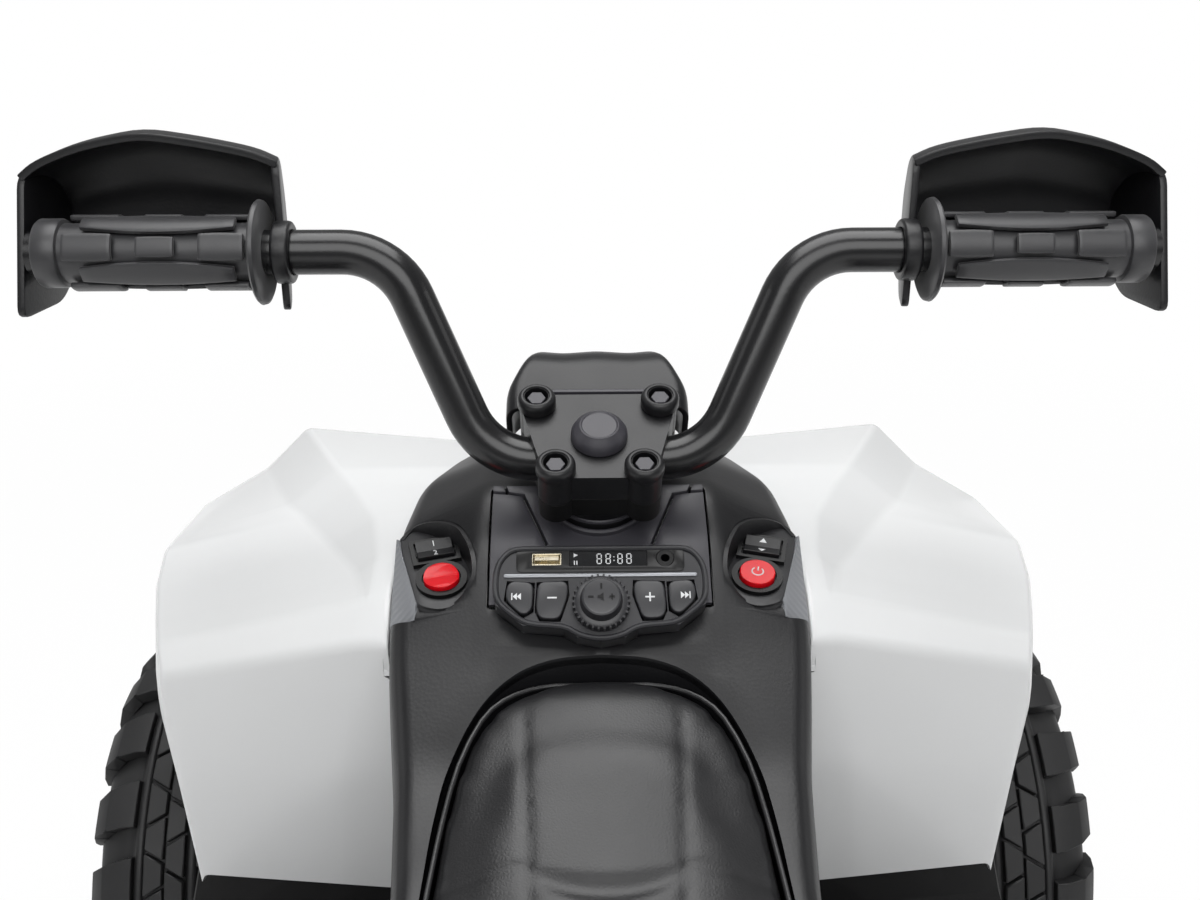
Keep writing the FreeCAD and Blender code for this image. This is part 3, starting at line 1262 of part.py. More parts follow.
def make_lamps():
    x0 = NOSE_HALF + FIT_GAP
    y1 = DASH_Y + TANK_STATIONS[0][0] + LAMP_AHEAD
    z0 = LAMP_Z
    outline = [(x0, z0), (x0 + 0.8 * LAMP_WIDE, z0 + 0.1 * LAMP_TALL),
               (x0 + LAMP_WIDE, z0 + 0.55 * LAMP_TALL),
               (x0 + 0.9 * LAMP_WIDE, z0 + 0.85 * LAMP_TALL), (x0, z0 + LAMP_TALL)]
    points = [V(x, y1 - LAMP_DEEP, z) for x, z in outline]
    case = Part.Face(Part.makePolygon(points + points[:1])).extrude(V(0, LAMP_DEEP, 0))
    opening = [(x0 + LAMP_RIM, z0 + LAMP_RIM),
               (x0 + 0.78 * LAMP_WIDE, z0 + 0.1 * LAMP_TALL + 0.8 * LAMP_RIM),
               (x0 + 0.9 * LAMP_WIDE, z0 + 0.56 * LAMP_TALL),
               (x0 + 0.84 * LAMP_WIDE, z0 + 0.78 * LAMP_TALL), (x0 + LAMP_RIM, z0 + LAMP_TALL - LAMP_RIM)]
    inner = [V(x, y1 - LAMP_LENS, z) for x, z in opening]
    lens = Part.Face(Part.makePolygon(inner + inner[:1])).extrude(V(0, 1.2 * LAMP_LENS, 0))
    return case.cut(lens), lens


def make_tail_lamp():
    y = TAIL_Y - TAIL_STATIONS[-1][0] + SEAT_GAP
    x = 0.78 * TAIL_HALF
    high = LAMP_TAIL_Z + 0.45 * LAMP_TAIL
    lamp = box(x - LAMP_TAIL, x - LAMP_RIM, y - LAMP_TAIL_DEEP, y, LAMP_TAIL_Z, high)
    along = [e for e in lamp.Edges if abs(e.BoundBox.YLength - LAMP_TAIL_DEEP) < 0.01]
    return lamp.makeFillet(LAMP_TAIL_ROUND, along)


def make_battery():
    z = TUB_FLOOR + TUB_WALL + SEAT_GAP
    half = TUB_HALF - TUB_WALL - BATTERY_CLEAR
    top = z + BATTERY_TALL
    block = box(-half, half, BATTERY_FRONT - BATTERY_LONG, BATTERY_FRONT, z, top)
    y = BATTERY_FRONT - 0.18 * BATTERY_LONG
    posts = [rod(V(x, y, top), V(x, y, top + POST_TALL), POST_RADIUS) for x in (-0.66 * half, 0.66 * half)]
    return block.fuse(posts).removeSplitter()


def save_pair(name, shape):
    save(name + "_right", shape)
    save(name + "_left", mirrored(shape))


def both(shape):
    return Part.makeCompound([shape, mirrored(shape)])


os.makedirs("parts", exist_ok=True)
place_wheels()
save("chassis_tub", make_tub())
save("front_axle_beam", make_front_beam())
save("kingpin_bolts", make_kingpins())
save_pair("knuckle", make_knuckle())
save_pair("front_drive", front_drive())
save("tie_rod", make_tie_rod())
gearbox, motor = rear_drive()
save("rear_drives", Part.makeCompound([gearbox, motor, mirrored(gearbox), mirrored(motor)]))
save("rear_axle", make_rear_axle())
save("battery", make_battery())
save("tank_cover", make_tank())
save("dash_panel", make_dash_panel())
save("steering_bushes", make_bushes())
save_pair("front_fender", make_fender())
save_pair("rear_fender", make_rear_fender())
save("nose_cowl", make_nose())
save("tail_cowl", make_tail())
save("seat_cushion", make_cushion())
save("seat_pan", make_pan())
footrest = make_footrest()
save("footrests", Part.makeCompound([mirrored(footrest), footrest.fuse(pedal_lugs()).removeSplitter()]))
save("foot_pedal", make_pedal())
save("handlebar", make_handlebar())
save("grips", both(make_grip()))
save("hand_guards", both(make_guard()))
cap, block, bolts = make_clamp()
save("clamp_cap", cap)
save("stem_block", block)
save("clamp_bolts", bolts)
save("clamp_dome", make_dome())
save("steering_pod", make_pod())
save("steering_column", make_column())
save("console_housing", make_console())
save("display_window", make_window())
save("usb_socket", make_usb())
save("aux_socket", make_aux())
for place, outline in BUTTON_OUTLINES:
    save("console_button_" + place + "_left", make_button(outline, -1))
    save("console_button_" + place + "_right", make_button(outline, 1))
save("volume_knob", make_knob())
save("switch_plates", Part.makeCompound([make_switch_plate(-1), make_switch_plate(1)]))
save("drive_mode_rocker", make_rocker(-1))
save("direction_rocker", make_rocker(1))
save("light_rocker", make_light_rocker())
save("power_button", switch_frame(round_body(POWER_TRAVEL), 1))
save("front_bumper", make_front_bumper())
save("rear_bumper", make_rear_bumper())
lamp_case, lamp_lens = make_lamps()
save("lamp_housings", both(lamp_case))
save("lamp_lenses", both(lamp_lens))
save("tail_lamps", both(make_tail_lamp()))
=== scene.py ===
import math
import bpy
from mathutils import Matrix, Vector


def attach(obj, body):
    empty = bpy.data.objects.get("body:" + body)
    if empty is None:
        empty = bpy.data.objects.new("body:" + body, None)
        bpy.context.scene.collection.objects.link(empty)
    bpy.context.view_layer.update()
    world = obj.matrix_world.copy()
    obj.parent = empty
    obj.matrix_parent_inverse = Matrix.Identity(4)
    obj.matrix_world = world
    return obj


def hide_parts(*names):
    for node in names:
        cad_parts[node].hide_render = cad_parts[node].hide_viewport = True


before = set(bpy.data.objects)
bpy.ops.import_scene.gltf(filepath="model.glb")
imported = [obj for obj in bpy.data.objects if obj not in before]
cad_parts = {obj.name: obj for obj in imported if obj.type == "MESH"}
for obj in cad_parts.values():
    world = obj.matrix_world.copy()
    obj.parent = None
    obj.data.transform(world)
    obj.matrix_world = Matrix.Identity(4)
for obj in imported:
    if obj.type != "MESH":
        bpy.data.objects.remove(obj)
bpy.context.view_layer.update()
# A millimetre in metres, how near points are merged, and the limits of a softened corner
MM = 0.001
MERGED = 0.01 * MM
NEARLY_HALF = 0.46
SHORTEST = 0.001


# Helpers for shapes, all sizes in millimetres
def clear():
    if bpy.context.object and bpy.context.object.mode != "OBJECT":
        bpy.ops.object.mode_set(mode="OBJECT")
    bpy.ops.object.select_all(action="DESELECT")


def pick(piece):
    clear()
    piece.select_set(True)
    bpy.context.view_layer.objects.active = piece


def edit_all(piece):
    pick(piece)
    bpy.ops.object.mode_set(mode="EDIT")
    bpy.ops.mesh.select_all(action="SELECT")


def closed_up(piece):
    edit_all(piece)
    bpy.ops.mesh.remove_doubles(threshold=MERGED)
    bpy.ops.mesh.normals_make_consistent(inside=False)
    clear()
    return piece


def modified(piece, kind, **settings):
    pick(piece)
    step = piece.modifiers.new(kind.title(), kind)
    for name, value in settings.items():
        setattr(step, name, value)
    bpy.ops.object.modifier_apply(modifier=step.name)
    return piece


def bevelled(piece, width, segments=2, angle=35.0):
    return modified(piece, "BEVEL", width=width * MM, segments=segments, limit_method="ANGLE",
                    angle_limit=math.radians(angle))


def walled(piece, wall):
    return modified(piece, "SOLIDIFY", thickness=wall * MM, offset=-1.0, use_even_offset=True)


def cut(piece, *cutters):
    for cutter in cutters:
        modified(piece, "BOOLEAN", operation="DIFFERENCE", object=cutter, solver="EXACT")
        bpy.data.objects.remove(cutter)
    return piece


def joined(pieces):
    clear()
    for piece in pieces:
        piece.select_set(True)
    bpy.context.view_layer.objects.active = pieces[0]
    bpy.ops.object.join()
    return pieces[0]


def settle(piece, place):
    piece.matrix_world = place @ piece.matrix_world
    pick(piece)
    bpy.ops.object.transform_apply(location=True, rotation=True, scale=True)
    return piece


def copied(piece, place):
    pick(piece)
    bpy.ops.object.duplicate()
    return settle(bpy.context.object, place)


# A line whose inner corners give way to curves that reach up to a given length along each side, or up to
# nearly half of it
def softened(points, reach, steps=4):
    points = [Vector(p) for p in points]
    line = [points[0]]
    for before, corner, after in zip(points, points[1:], points[2:]):
        back = before - corner
        on = after - corner
        start = corner + back * min(reach / max(back.length, SHORTEST), NEARLY_HALF)
        end = corner + on * min(reach / max(on.length, SHORTEST), NEARLY_HALF)
        for n in range(steps + 1):
            t = n / steps
            line.append(start * (1 - t) ** 2 + corner * 2 * t * (1 - t) + end * t * t)
    return line + [points[-1]]


def softened_loop(points, reach, steps=4):
    return softened([points[-1]] + list(points) + [points[0]], reach, steps)[1:-1]


def softened_grid(rows, along, across, steps=4):
    rows = [softened(row, along, steps) for row in rows]
    columns = [softened(column, across, steps) for column in zip(*rows)]
    return [list(row) for row in zip(*columns)]


def mirrored_rows(rows):
    return [[(-p[0], p[1], p[2]) for p in reversed(row)] for row in rows]


# A sheet through rows of points, its outer side to the left of a row seen along the next rows
def sheet(rows):
    clear()
    bpy.ops.mesh.primitive_grid_add(x_subdivisions=len(rows[0]) - 1, y_subdivisions=len(rows) - 1, size=1.0)
    piece = bpy.context.object
    piece.data.vertices.foreach_set("co", [c * MM for row in rows for point in row for c in point])
    piece.data.update()
    return piece


# A flat piece with a closed outline
def slab(outline, low, high):
    clear()
    bpy.ops.mesh.primitive_circle_add(vertices=len(outline), radius=1.0, fill_type="NGON")
    piece = bpy.context.object
    for vertex, point in zip(piece.data.vertices, outline):
        vertex.co = (point[0] * MM, point[1] * MM, low * MM)
    edit_all(piece)
    bpy.ops.mesh.extrude_region_move(TRANSFORM_OT_translate={"value": (0, 0, (high - low) * MM)})
    bpy.ops.mesh.select_all(action="SELECT")
    bpy.ops.mesh.normals_make_consistent(inside=False)
    clear()
    return piece


def rectangle(x, y, wide, tall):
    return [(x - wide / 2, y - tall / 2), (x + wide / 2, y - tall / 2), (x + wide / 2, y + tall / 2),
            (x - wide / 2, y + tall / 2)]


# A closed outline of places along and distances from the X axis, turned round it
def turned(outline, steps):
    clear()
    bpy.ops.mesh.primitive_circle_add(vertices=len(outline), radius=1.0, fill_type="NOTHING")
    piece = bpy.context.object
    for vertex, point in zip(piece.data.vertices, outline):
        vertex.co = (point[0] * MM, 0, point[1] * MM)
    edit_all(piece)
    bpy.ops.mesh.spin(steps=steps, angle=2 * math.pi, center=(0, 0, 0), axis=(1, 0, 0))
    return closed_up(piece)


# A round bead along a line of points
def bead(points, radius, ring=False):
    clear()
    bpy.ops.curve.primitive_nurbs_path_add()
    line = bpy.context.object
    line.data.splines.clear()
    spline = line.data.splines.new("POLY")
    spline.points.add(len(points) - 1)
    for spot, point in zip(spline.points, points):
        spot.co = (point[0] * MM, point[1] * MM, point[2] * MM, 1.0)
    spline.use_cyclic_u = ring
    line.data.bevel_depth = radius * MM
    line.data.bevel_resolution = 3
    line.data.use_fill_caps = not ring
    pick(line)
    bpy.ops.object.convert(target="MESH")
    return closed_up(bpy.context.object)


# A share kept between 0 and 1
def limited(share):
    return min(1.0, max(0.0, share))


# A column of a table of stations, read between the two stations next to a place
def blend(stations, place, column):
    ordered = sorted(stations)
    if place <= ordered[0][0]:
        return ordered[0][column]
    for low, high in zip(ordered, ordered[1:]):
        if place <= high[0]:
            return low[column] + (place - low[0]) / (high[0] - low[0]) * (high[column] - low[column])
    return ordered[-1][column]


def turn(degrees, axis):
    return Matrix.Rotation(math.radians(degrees), 4, axis)


def shift(x, y, z):
    return Matrix.Translation((x * MM, y * MM, z * MM))


SIDES = {-1: "left", 1: "right"}
# Places of the clamp, of the console's face, of the switches and of the axis of the grips
STEERING = shift(0, 143, 488) @ turn(25, "X")
CONSOLE = shift(0, 105, 440) @ turn(41.6, "X")
SWITCH_X = 75
SWITCH_Y = 133
SWITCH_Z = 438
SWITCH_TILT = turn(16, "X")
SWITCH = {}
for sign in SIDES:
    SWITCH[sign] = shift(sign * SWITCH_X, SWITCH_Y, SWITCH_Z) @ SWITCH_TILT @ turn(-sign * 14, "Z")
GRIP_Y = 165
GRIP_Z = 579.7
# Turned pieces lie along X until they are stood up
X_TO_Z = turn(-90, "Y")


# Helpers for finishes
def linear(code):
    parts = [int(code[n:n + 2], 16) / 255 for n in (0, 2, 4)]
    return tuple(p / 12.92 if p <= 0.04045 else ((p + 0.055) / 1.055) ** 2.4 for p in parts) + (1.0,)


def node(tree, kind, inputs, **settings):
    made = tree.nodes.new(kind)
    for name, value in settings.items():
        setattr(made, name, value)
    for name, value in inputs.items():
        if isinstance(value, bpy.types.NodeSocket):
            tree.links.new(value, made.inputs[name])
        else:
            made.inputs[name].default_value = value
    return made


def new_finish(name, **sockets):
    finish = bpy.data.materials.new(name)
    finish.use_nodes = True
    tree = finish.node_tree
    shader = tree.nodes["Principled BSDF"]
    for socket, value in sockets.items():
        shader.inputs[socket.replace("_", " ")].default_value = value
    place = node(tree, "ShaderNodeTexCoord", {}).outputs["Object"]
    return finish, tree, shader, place


# How often a pattern's size in millimetres fits into a metre
def per_metre(size):
    return 1000 / size


# A wave texture counts its bands in radians
WAVE_TURN = 6.283
# Places of the colour sockets on a mix node, whose sockets of other kinds have the same names
MIX_SHARE, MIX_FROM, MIX_TO, MIX_RESULT = 0, 6, 7, 2


# Patchy colour and gloss, and a bump, as moulded and painted surfaces have
def weathered(tree, shader, place, dark, light, patch, rough, bump, strength, height):
    cloud = node(tree, "ShaderNodeTexNoise", {"Vector": place, "Scale": per_metre(patch), "Detail": 3.0})
    tint = node(tree, "ShaderNodeMix", {MIX_SHARE: cloud.outputs["Fac"], MIX_FROM: linear(dark),
                                        MIX_TO: linear(light)}, data_type="RGBA")
    tree.links.new(tint.outputs[MIX_RESULT], shader.inputs["Base Color"])
    gloss = node(tree, "ShaderNodeMapRange", {"Value": cloud.outputs["Fac"], "From Min": 0.3, "From Max": 0.7,
                                              "To Min": rough[0], "To Max": rough[1]})
    tree.links.new(gloss.outputs["Result"], shader.inputs["Roughness"])
    relief = node(tree, "ShaderNodeBump", {"Height": bump, "Strength": strength, "Distance": height * MM})
    tree.links.new(relief.outputs["Normal"], shader.inputs["Normal"])


# Gloss white polypropylene, injection moulded: smooth with a faint orange peel about 7 mm wide
WHITE, tree, shader, place = new_finish("white_polypropylene_moulded_gloss", IOR=1.49)
peel = node(tree, "ShaderNodeTexNoise", {"Vector": place, "Scale": per_metre(7.0), "Detail": 1.0})
weathered(tree, shader, place, "D8D9DA", "DCDDDD", 240.0, (0.22, 0.26), peel.outputs["Fac"], 0.05, 0.2)

# Black polypropylene from a spark-eroded mould: an even grain of 0.9 mm, drawn at 1.5 mm so that it shows
BLACK, tree, shader, place = new_finish("black_polypropylene_moulded_grained", IOR=1.46)
grain = node(tree, "ShaderNodeTexVoronoi", {"Vector": place, "Scale": per_metre(1.5)})
weathered(tree, shader, place, "121214", "18181A", 40.0, (0.34, 0.41), grain.outputs["Distance"], 0.13, 0.25)

# The same plastic from a polished mould on the dash: a finer grain of 0.6 mm, drawn at 1.1 mm, and a softer
# gloss. Its grey is much lighter than the black plastic's: painted light that stands in for the softbox's
# light on the dash and clamp
DASH, tree, shader, place = new_finish("black_polypropylene_satin_painted_light", IOR=1.49)
grain = node(tree, "ShaderNodeTexVoronoi", {"Vector": place, "Scale": per_metre(1.1)})
weathered(tree, shader, place, "333237", "3E3D43", 40.0, (0.38, 0.46), grain.outputs["Distance"], 0.10, 0.2)

# Soft-touch ABS on the console and its keys: silky, with a sheen and almost no grain
CONSOLE_ABS, tree, shader, place = new_finish("grey_abs_soft_touch", IOR=1.5)
grain = node(tree, "ShaderNodeTexNoise", {"Vector": place, "Scale": per_metre(0.8), "Detail": 2.0})
weathered(tree, shader, place, "242427", "2D2D30", 25.0, (0.30, 0.37), grain.outputs["Fac"], 0.06, 0.1)

# Gloss black ABS on bezels: reflections stay sharp
GLOSS_BLACK, tree, shader, place = new_finish("black_abs_polished", IOR=1.4)
peel = node(tree, "ShaderNodeTexNoise", {"Vector": place, "Scale": per_metre(3.0), "Detail": 1.0})
weathered(tree, shader, place, "070708", "0B0B0C", 30.0, (0.26, 0.34), peel.outputs["Fac"], 0.05, 0.1)

# Smoked acrylic window over the display: black with a clear gloss
GLASS, tree, shader, place = new_finish("acrylic_smoked_polished", IOR=1.49, Coat_Weight=0.6,
                                        Coat_Roughness=0.05)
peel = node(tree, "ShaderNodeTexNoise", {"Vector": place, "Scale": per_metre(5.0), "Detail": 1.0})
weathered(tree, shader, place, "0B0C0E", "121316", 20.0, (0.08, 0.14), peel.outputs["Fac"], 0.03, 0.1)

# Stem block and footrests: a deeper black than the other plastics, and matt. The deeper black is partly the
# stem block's own colour and partly painted shade under the clamp
DEEP_BLACK_AND_SHADE, tree, shader, place = new_finish("black_plastic_deep_matt_with_painted_shade", IOR=1.35)
grain = node(tree, "ShaderNodeTexNoise", {"Vector": place, "Scale": per_metre(1.5), "Detail": 3.0})
weathered(tree, shader, place, "080809", "0D0D0E", 30.0, (0.5, 0.6), grain.outputs["Fac"], 0.1, 0.2)

# Tyre tread of blow-moulded black plastic: dull, dusty on the faces, with a coarse 2 mm texture
TYRE, tree, shader, place = new_finish("black_pp_tyre_blow_moulded", IOR=1.5)
grain = node(tree, "ShaderNodeTexNoise", {"Vector": place, "Scale": per_metre(2.0), "Detail": 4.0})
weathered(tree, shader, place, "161617", "1F1F20", 35.0, (0.50, 0.62), grain.outputs["Fac"], 0.25, 0.3)

# Wheel centres of graphite-coloured ABS: satin with a fine fleck of 0.7 mm, drawn at 1.2 mm
RIM, tree, shader, place = new_finish("graphite_abs_moulded_satin", IOR=1.5)
fleck = node(tree, "ShaderNodeTexVoronoi", {"Vector": place, "Scale": per_metre(1.2)})
weathered(tree, shader, place, "5A5B60", "6C6D72", 50.0, (0.28, 0.36), fleck.outputs["Distance"], 0.05, 0.1)

# Steel tube under black powder coat: satin with the coat's 2.5 mm ripple
PAINTED, tree, shader, place = new_finish("steel_tube_powder_coated", IOR=1.52)
ripple = node(tree, "ShaderNodeTexNoise", {"Vector": place, "Scale": per_metre(2.5), "Detail": 2.0})
weathered(tree, shader, place, "0F0F10", "161618", 60.0, (0.20, 0.27), ripple.outputs["Fac"], 0.10, 0.2)

# Zinc-plated steel: grey metal with cloudy plating patches about 12 mm wide
ZINC, tree, shader, place = new_finish("steel_zinc_plated", Metallic=1.0)
ripple = node(tree, "ShaderNodeTexNoise", {"Vector": place, "Scale": per_metre(1.5), "Detail": 3.0})
weathered(tree, shader, place, "8C9094", "B0B2B4", 12.0, (0.32, 0.48), ripple.outputs["Fac"], 0.08, 0.1)

# Pressed tinned steel of the socket: bright, faintly warm
SOCKET, tree, shader, place = new_finish("steel_tinned_pressed", Metallic=1.0)
ripple = node(tree, "ShaderNodeTexNoise", {"Vector": place, "Scale": per_metre(1.0), "Detail": 2.0})
weathered(tree, shader, place, "C9BFA6", "D9D2C0", 6.0, (0.22, 0.32), ripple.outputs["Fac"], 0.05, 0.1)

# Moulded rubber of the grips: matt, with a soft bloom
RUBBER, tree, shader, place = new_finish("black_rubber_moulded_matt", IOR=1.6, Sheen_Weight=0.15,
                                         Sheen_Roughness=0.5)
grain = node(tree, "ShaderNodeTexNoise", {"Vector": place, "Scale": per_metre(1.2), "Detail": 3.0})
weathered(tree, shader, place, "222224", "2C2C2F", 20.0, (0.36, 0.46), grain.outputs["Fac"], 0.15, 0.2)

# Plain moulded cases of the drives and battery: dull dark grey
CASE, tree, shader, place = new_finish("grey_nylon_moulded", IOR=1.53)
grain = node(tree, "ShaderNodeTexNoise", {"Vector": place, "Scale": per_metre(1.5), "Detail": 3.0})
weathered(tree, shader, place, "3A3B3E", "45464A", 30.0, (0.5, 0.6), grain.outputs["Fac"], 0.15, 0.2)

# Leatherette, embossed vinyl: pebbles about 1.6 mm wide with fine creases between them
LEATHER, tree, shader, place = new_finish("black_leatherette_embossed", IOR=1.55)
pebble = node(tree, "ShaderNodeTexVoronoi", {"Vector": place, "Scale": per_metre(1.6)},
              feature="DISTANCE_TO_EDGE")
worn = node(tree, "ShaderNodeTexNoise", {"Vector": place, "Scale": per_metre(0.9), "Detail": 3.0})
skin = node(tree, "ShaderNodeMath", {0: pebble.outputs["Distance"], 1: worn.outputs["Fac"], 2: 0.4},
            operation="SMOOTH_MIN")
weathered(tree, shader, place, "0F0F11", "171719", 45.0, (0.36, 0.44), skin.outputs["Value"], 0.3, 0.3)

# Translucent red polycarbonate of lit switches and lamps: glows through, gloss outside
RED, tree, shader, place = new_finish("red_polycarbonate_clear", IOR=1.45, Transmission_Weight=0.1,
                                      Subsurface_Weight=0.3, Subsurface_Scale=0.004)
swirl = node(tree, "ShaderNodeTexNoise", {"Vector": place, "Scale": per_metre(4.0), "Detail": 2.0})
weathered(tree, shader, place, "CC0612", "E01020", 8.0, (0.16, 0.24), swirl.outputs["Fac"], 0.05, 0.1)

# Clear polycarbonate lens with moulded flutes 5 mm wide
LENS, tree, shader, place = new_finish("polycarbonate_clear_fluted", IOR=1.58, Transmission_Weight=0.3)
flute = node(tree, "ShaderNodeTexWave", {"Vector": place, "Scale": per_metre(5.0) / WAVE_TURN,
                                         "Distortion": 0.0})
weathered(tree, shader, place, "DDE2E6", "EEF2F4", 30.0, (0.06, 0.12), flute.outputs["Fac"], 0.3, 0.6)

# Silver-painted ABS with moulded ribs 1.6 mm apart
SILVER, tree, shader, place = new_finish("silver_abs_ribbed", IOR=1.5, Metallic=0.55)
ribs = node(tree, "ShaderNodeTexWave", {"Vector": place, "Scale": per_metre(1.6) / WAVE_TURN,
                                        "Distortion": 0.0}, bands_direction="Y")
weathered(tree, shader, place, "84868A", "96989C", 25.0, (0.34, 0.42), ribs.outputs["Fac"], 0.35, 0.4)

# Dark plate under the switches, brushed along its length with lines 0.5 mm apart, drawn at 1.2 mm
BRUSHED, tree, shader, place = new_finish("dark_abs_brushed", IOR=1.5)
stretch = node(tree, "ShaderNodeMapping", {"Vector": place, "Scale": (0.06, 1.0, 1.0)})
lines = node(tree, "ShaderNodeTexNoise", {"Vector": stretch.outputs["Vector"], "Scale": per_metre(1.2),
                                          "Detail": 2.0})
weathered(tree, shader, place, "1E1E20", "29292B", 12.0, (0.34, 0.5), lines.outputs["Fac"], 0.25, 0.2)

# Screen-printed marks in off-white ink: flat, slightly uneven
PRINT, tree, shader, place = new_finish("white_ink_printed", IOR=1.48)
ink = node(tree, "ShaderNodeTexNoise", {"Vector": place, "Scale": per_metre(0.8), "Detail": 3.0})
weathered(tree, shader, place, "C6C8CA", "DADBDC", 3.0, (0.5, 0.6), ink.outputs["Fac"], 0.1, 0.05)


# A finished piece gets its name, finish, smooth shading and body, and the nodes that it stands for are hidden
def dress(piece, name, finish, body, slot, *stands_for, sharp=32.0):
    piece.name = name
    piece.data.name = name
    piece.data.materials.clear()
    piece.data.materials.append(finish)
    pick(piece)
    bpy.ops.object.shade_smooth_by_angle(angle=math.radians(sharp))
    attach(piece, body)
    if stands_for:
        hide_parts(*stands_for)
    return piece


# A node kept from the solid model gets rounded edges and its finish
def keep(name, finish, edge):
    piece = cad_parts[name]
    piece.data.materials.clear()
    piece.data.materials.append(finish)
    if edge:
        weld = piece.modifiers.new("Weld", "WELD")
        weld.merge_threshold = 2 * MERGED
        flat = piece.modifiers.new("Flat", "DECIMATE")
        flat.decimate_type = "DISSOLVE"
        flat.angle_limit = math.radians(1.0)
        rounding = piece.modifiers.new("Rounding", "BEVEL")
        rounding.width = edge * MM
        rounding.segments = 2
        rounding.limit_method = "ANGLE"
        rounding.angle_limit = math.radians(40.0)
        piece.modifiers.new("Shading", "WEIGHTED_NORMAL").keep_sharp = True


# Tank cover: place along the bike, half width, height of the shoulder and of the crown
TANK = [
    (262, 62, 447, 455), (240, 79, 450, 460), (200, 92, 453, 466), (160, 97, 447, 467), (130, 97, 437, 452),
    (105, 96, 424, 432), (88, 94, 414, 417), (50, 88.5, 388, 390), (0, 84.5, 366, 367), (-60, 86, 348, 348),
    (-140, 92, 340, 340),
]
# Front fenders: places along the bike at the inner and outer edge, inner height, then width and height
# of the crest, the valley, the outer edge and the skirt
FENDER = [
    (452, 452, 371, (120, 379), (167, 361), (199, 339), (202, 317)),
    (400, 400, 397, (162, 407), (202, 391), (236, 367), (241, 335)),
    (330, 330, 426, (177, 437), (204, 410), (246, 385), (252, 345)),
    (262, 262, 437, (145, 436.5), (175, 413), (245, 392), (251, 349)),
    (240, 246, 436.5, (134, 435.5), (162, 414), (243, 395), (249, 350)),
    (200, 214, 437, (116, 434), (141, 417), (238, 390), (243, 352)),
    (160, 186, 432, (108, 430), (120, 420), (230, 385), (234, 353)),
    (130, 164, 423, (107, 422), (112, 421), (223, 381), (226, 351)),
    (112, 152, 409, (107, 408), (112, 407), (219, 370), (221, 347)),
    (117, 147, 335, (113, 333), (123, 332), (213, 322), (215, 312)),
    (126, 141, 258, (118, 258), (130, 258), (206, 258), (208, 253)),
]
# Rear fenders: place along the bike, inner edge and its height, then width and height of the crest, the
# outer edge and the skirt
REAR_FENDER = [
    (-160, 96.4, 200, (132, 200), (216, 200), (221, 195)),
    (-168, 96.4, 275, (134, 275), (223, 271), (228, 263)),
    (-176, 96.4, 343, (139, 345), (229, 329), (234, 303)),
    (-200, 96.4, 365, (144, 371), (233, 349), (239, 307)),
    (-262, 96.4, 379, (154, 389), (238, 365), (244, 315)),
    (-330, 96.4, 383, (158, 395), (240, 370), (246, 317)),
    (-400, 96.2, 379, (154, 387), (235, 361), (240, 313)),
    (-448, 78.0, 361, (146, 365), (223, 339), (227, 299)),
    (-468, 75.0, 329, (139, 329), (209, 307), (211, 283)),
]
# Nose cowl: place along the bike, half width, height of the foot, the shoulder and the crown
NOSE = [
    (262.4, 62, 205, 447, 455), (330.4, 62, 205, 436, 446), (399.4, 62, 205, 402, 415),
    (448.4, 55.8, 238, 352, 368), (468.4, 49.6, 240, 300, 312), (476.4, 45.9, 246, 252, 256),
]
PANEL_WALL = 3.0
PANEL_EDGE = 0.9
FENDER_GAP = 0.4
FENDER_WIDE = 221.4
FENDER_LIP = 14
REAR_LIP = 9
REAR_LIP_TOP = 338
SKIRT_TOP = 412
TANK_FRONT = TANK[0][0]
TANK_WIDEST = max(half for y, half, shoulder, crown in TANK)
NOSE_HALF = NOSE[0][1]
NOSE_TIP = 440
NOSE_TIP_HALF = NOSE[3][1]


def white_panel(name, rows):
    piece = bevelled(walled(sheet(rows), PANEL_WALL), PANEL_EDGE)
    dress(piece, name + "_panel", WHITE, "chassis", "white_panel", name)


# Where a front fender meets the nose, the tank and, low down, the widest place of the tank
def fender_inner(y, high):
    if y > NOSE_TIP:
        return NOSE_TIP_HALF
    if y > TANK_FRONT:
        return NOSE_HALF + FENDER_GAP
    if high < SKIRT_TOP:
        return TANK_WIDEST + FENDER_GAP
    return blend(TANK, y, 1) + FENDER_GAP


def front_fender(sign):
    rows = []
    for y_in, y_out, high, *others in reversed(FENDER):
        inner = fender_inner(y_in, high)
        row = [(inner, y_in, high - FENDER_LIP), (inner, y_in, high)]
        for x, z in others:
            y = y_in + (y_out - y_in) * min(1.0, (x - inner) / (FENDER_WIDE - inner))
            row.append((x, y, z))
        rows.append(row)
    rows = softened_grid(rows, 3.5, 4.5)
    white_panel("front_fender_" + SIDES[sign], rows if sign > 0 else mirrored_rows(rows))


def rear_fender(sign):
    rows = []
    for y, inner, high, *others in reversed(REAR_FENDER):
        row = [(inner, y, min(high - REAR_LIP, REAR_LIP_TOP)), (inner, y, high)]
        rows.append(row + [(x, y, z) for x, z in others])
    rows = softened_grid(rows, 6.0, 24.0, 5)
    white_panel("rear_fender_" + SIDES[sign], rows if sign > 0 else mirrored_rows(rows))


# A row from the left to the right, given its right half from the outside in
def both_ways(points):
    return [(-x, y, z) for x, y, z in points] + [(x, y, z) for x, y, z in reversed(points) if x > 0]


def nose_cowl():
    rows = []
    for y, half, foot, shoulder, crown in NOSE:
        waist = foot + 0.6 * (shoulder - foot)
        rows.append(both_ways([(half, y, foot), (half, y, waist), (half - 1, y, shoulder - 4),
                               (half - 8, y, shoulder), (0.45 * half, y, crown), (0, y, crown)]))
    white_panel("nose_cowl", softened_grid(rows, 5.0, 12.0))


for sign in SIDES:
    front_fender(sign)
    rear_fender(sign)
nose_cowl()


# Tank cover: a shell with an arched hole for the seat, openings for the switches and the steering
TANK_FOOT = 205
TANK_FLAT = 54.0
TANK_ROUND = 6
TANK_WALL = 3.5


def tank_flat(half):
    return min(TANK_FLAT, 0.8 * half)


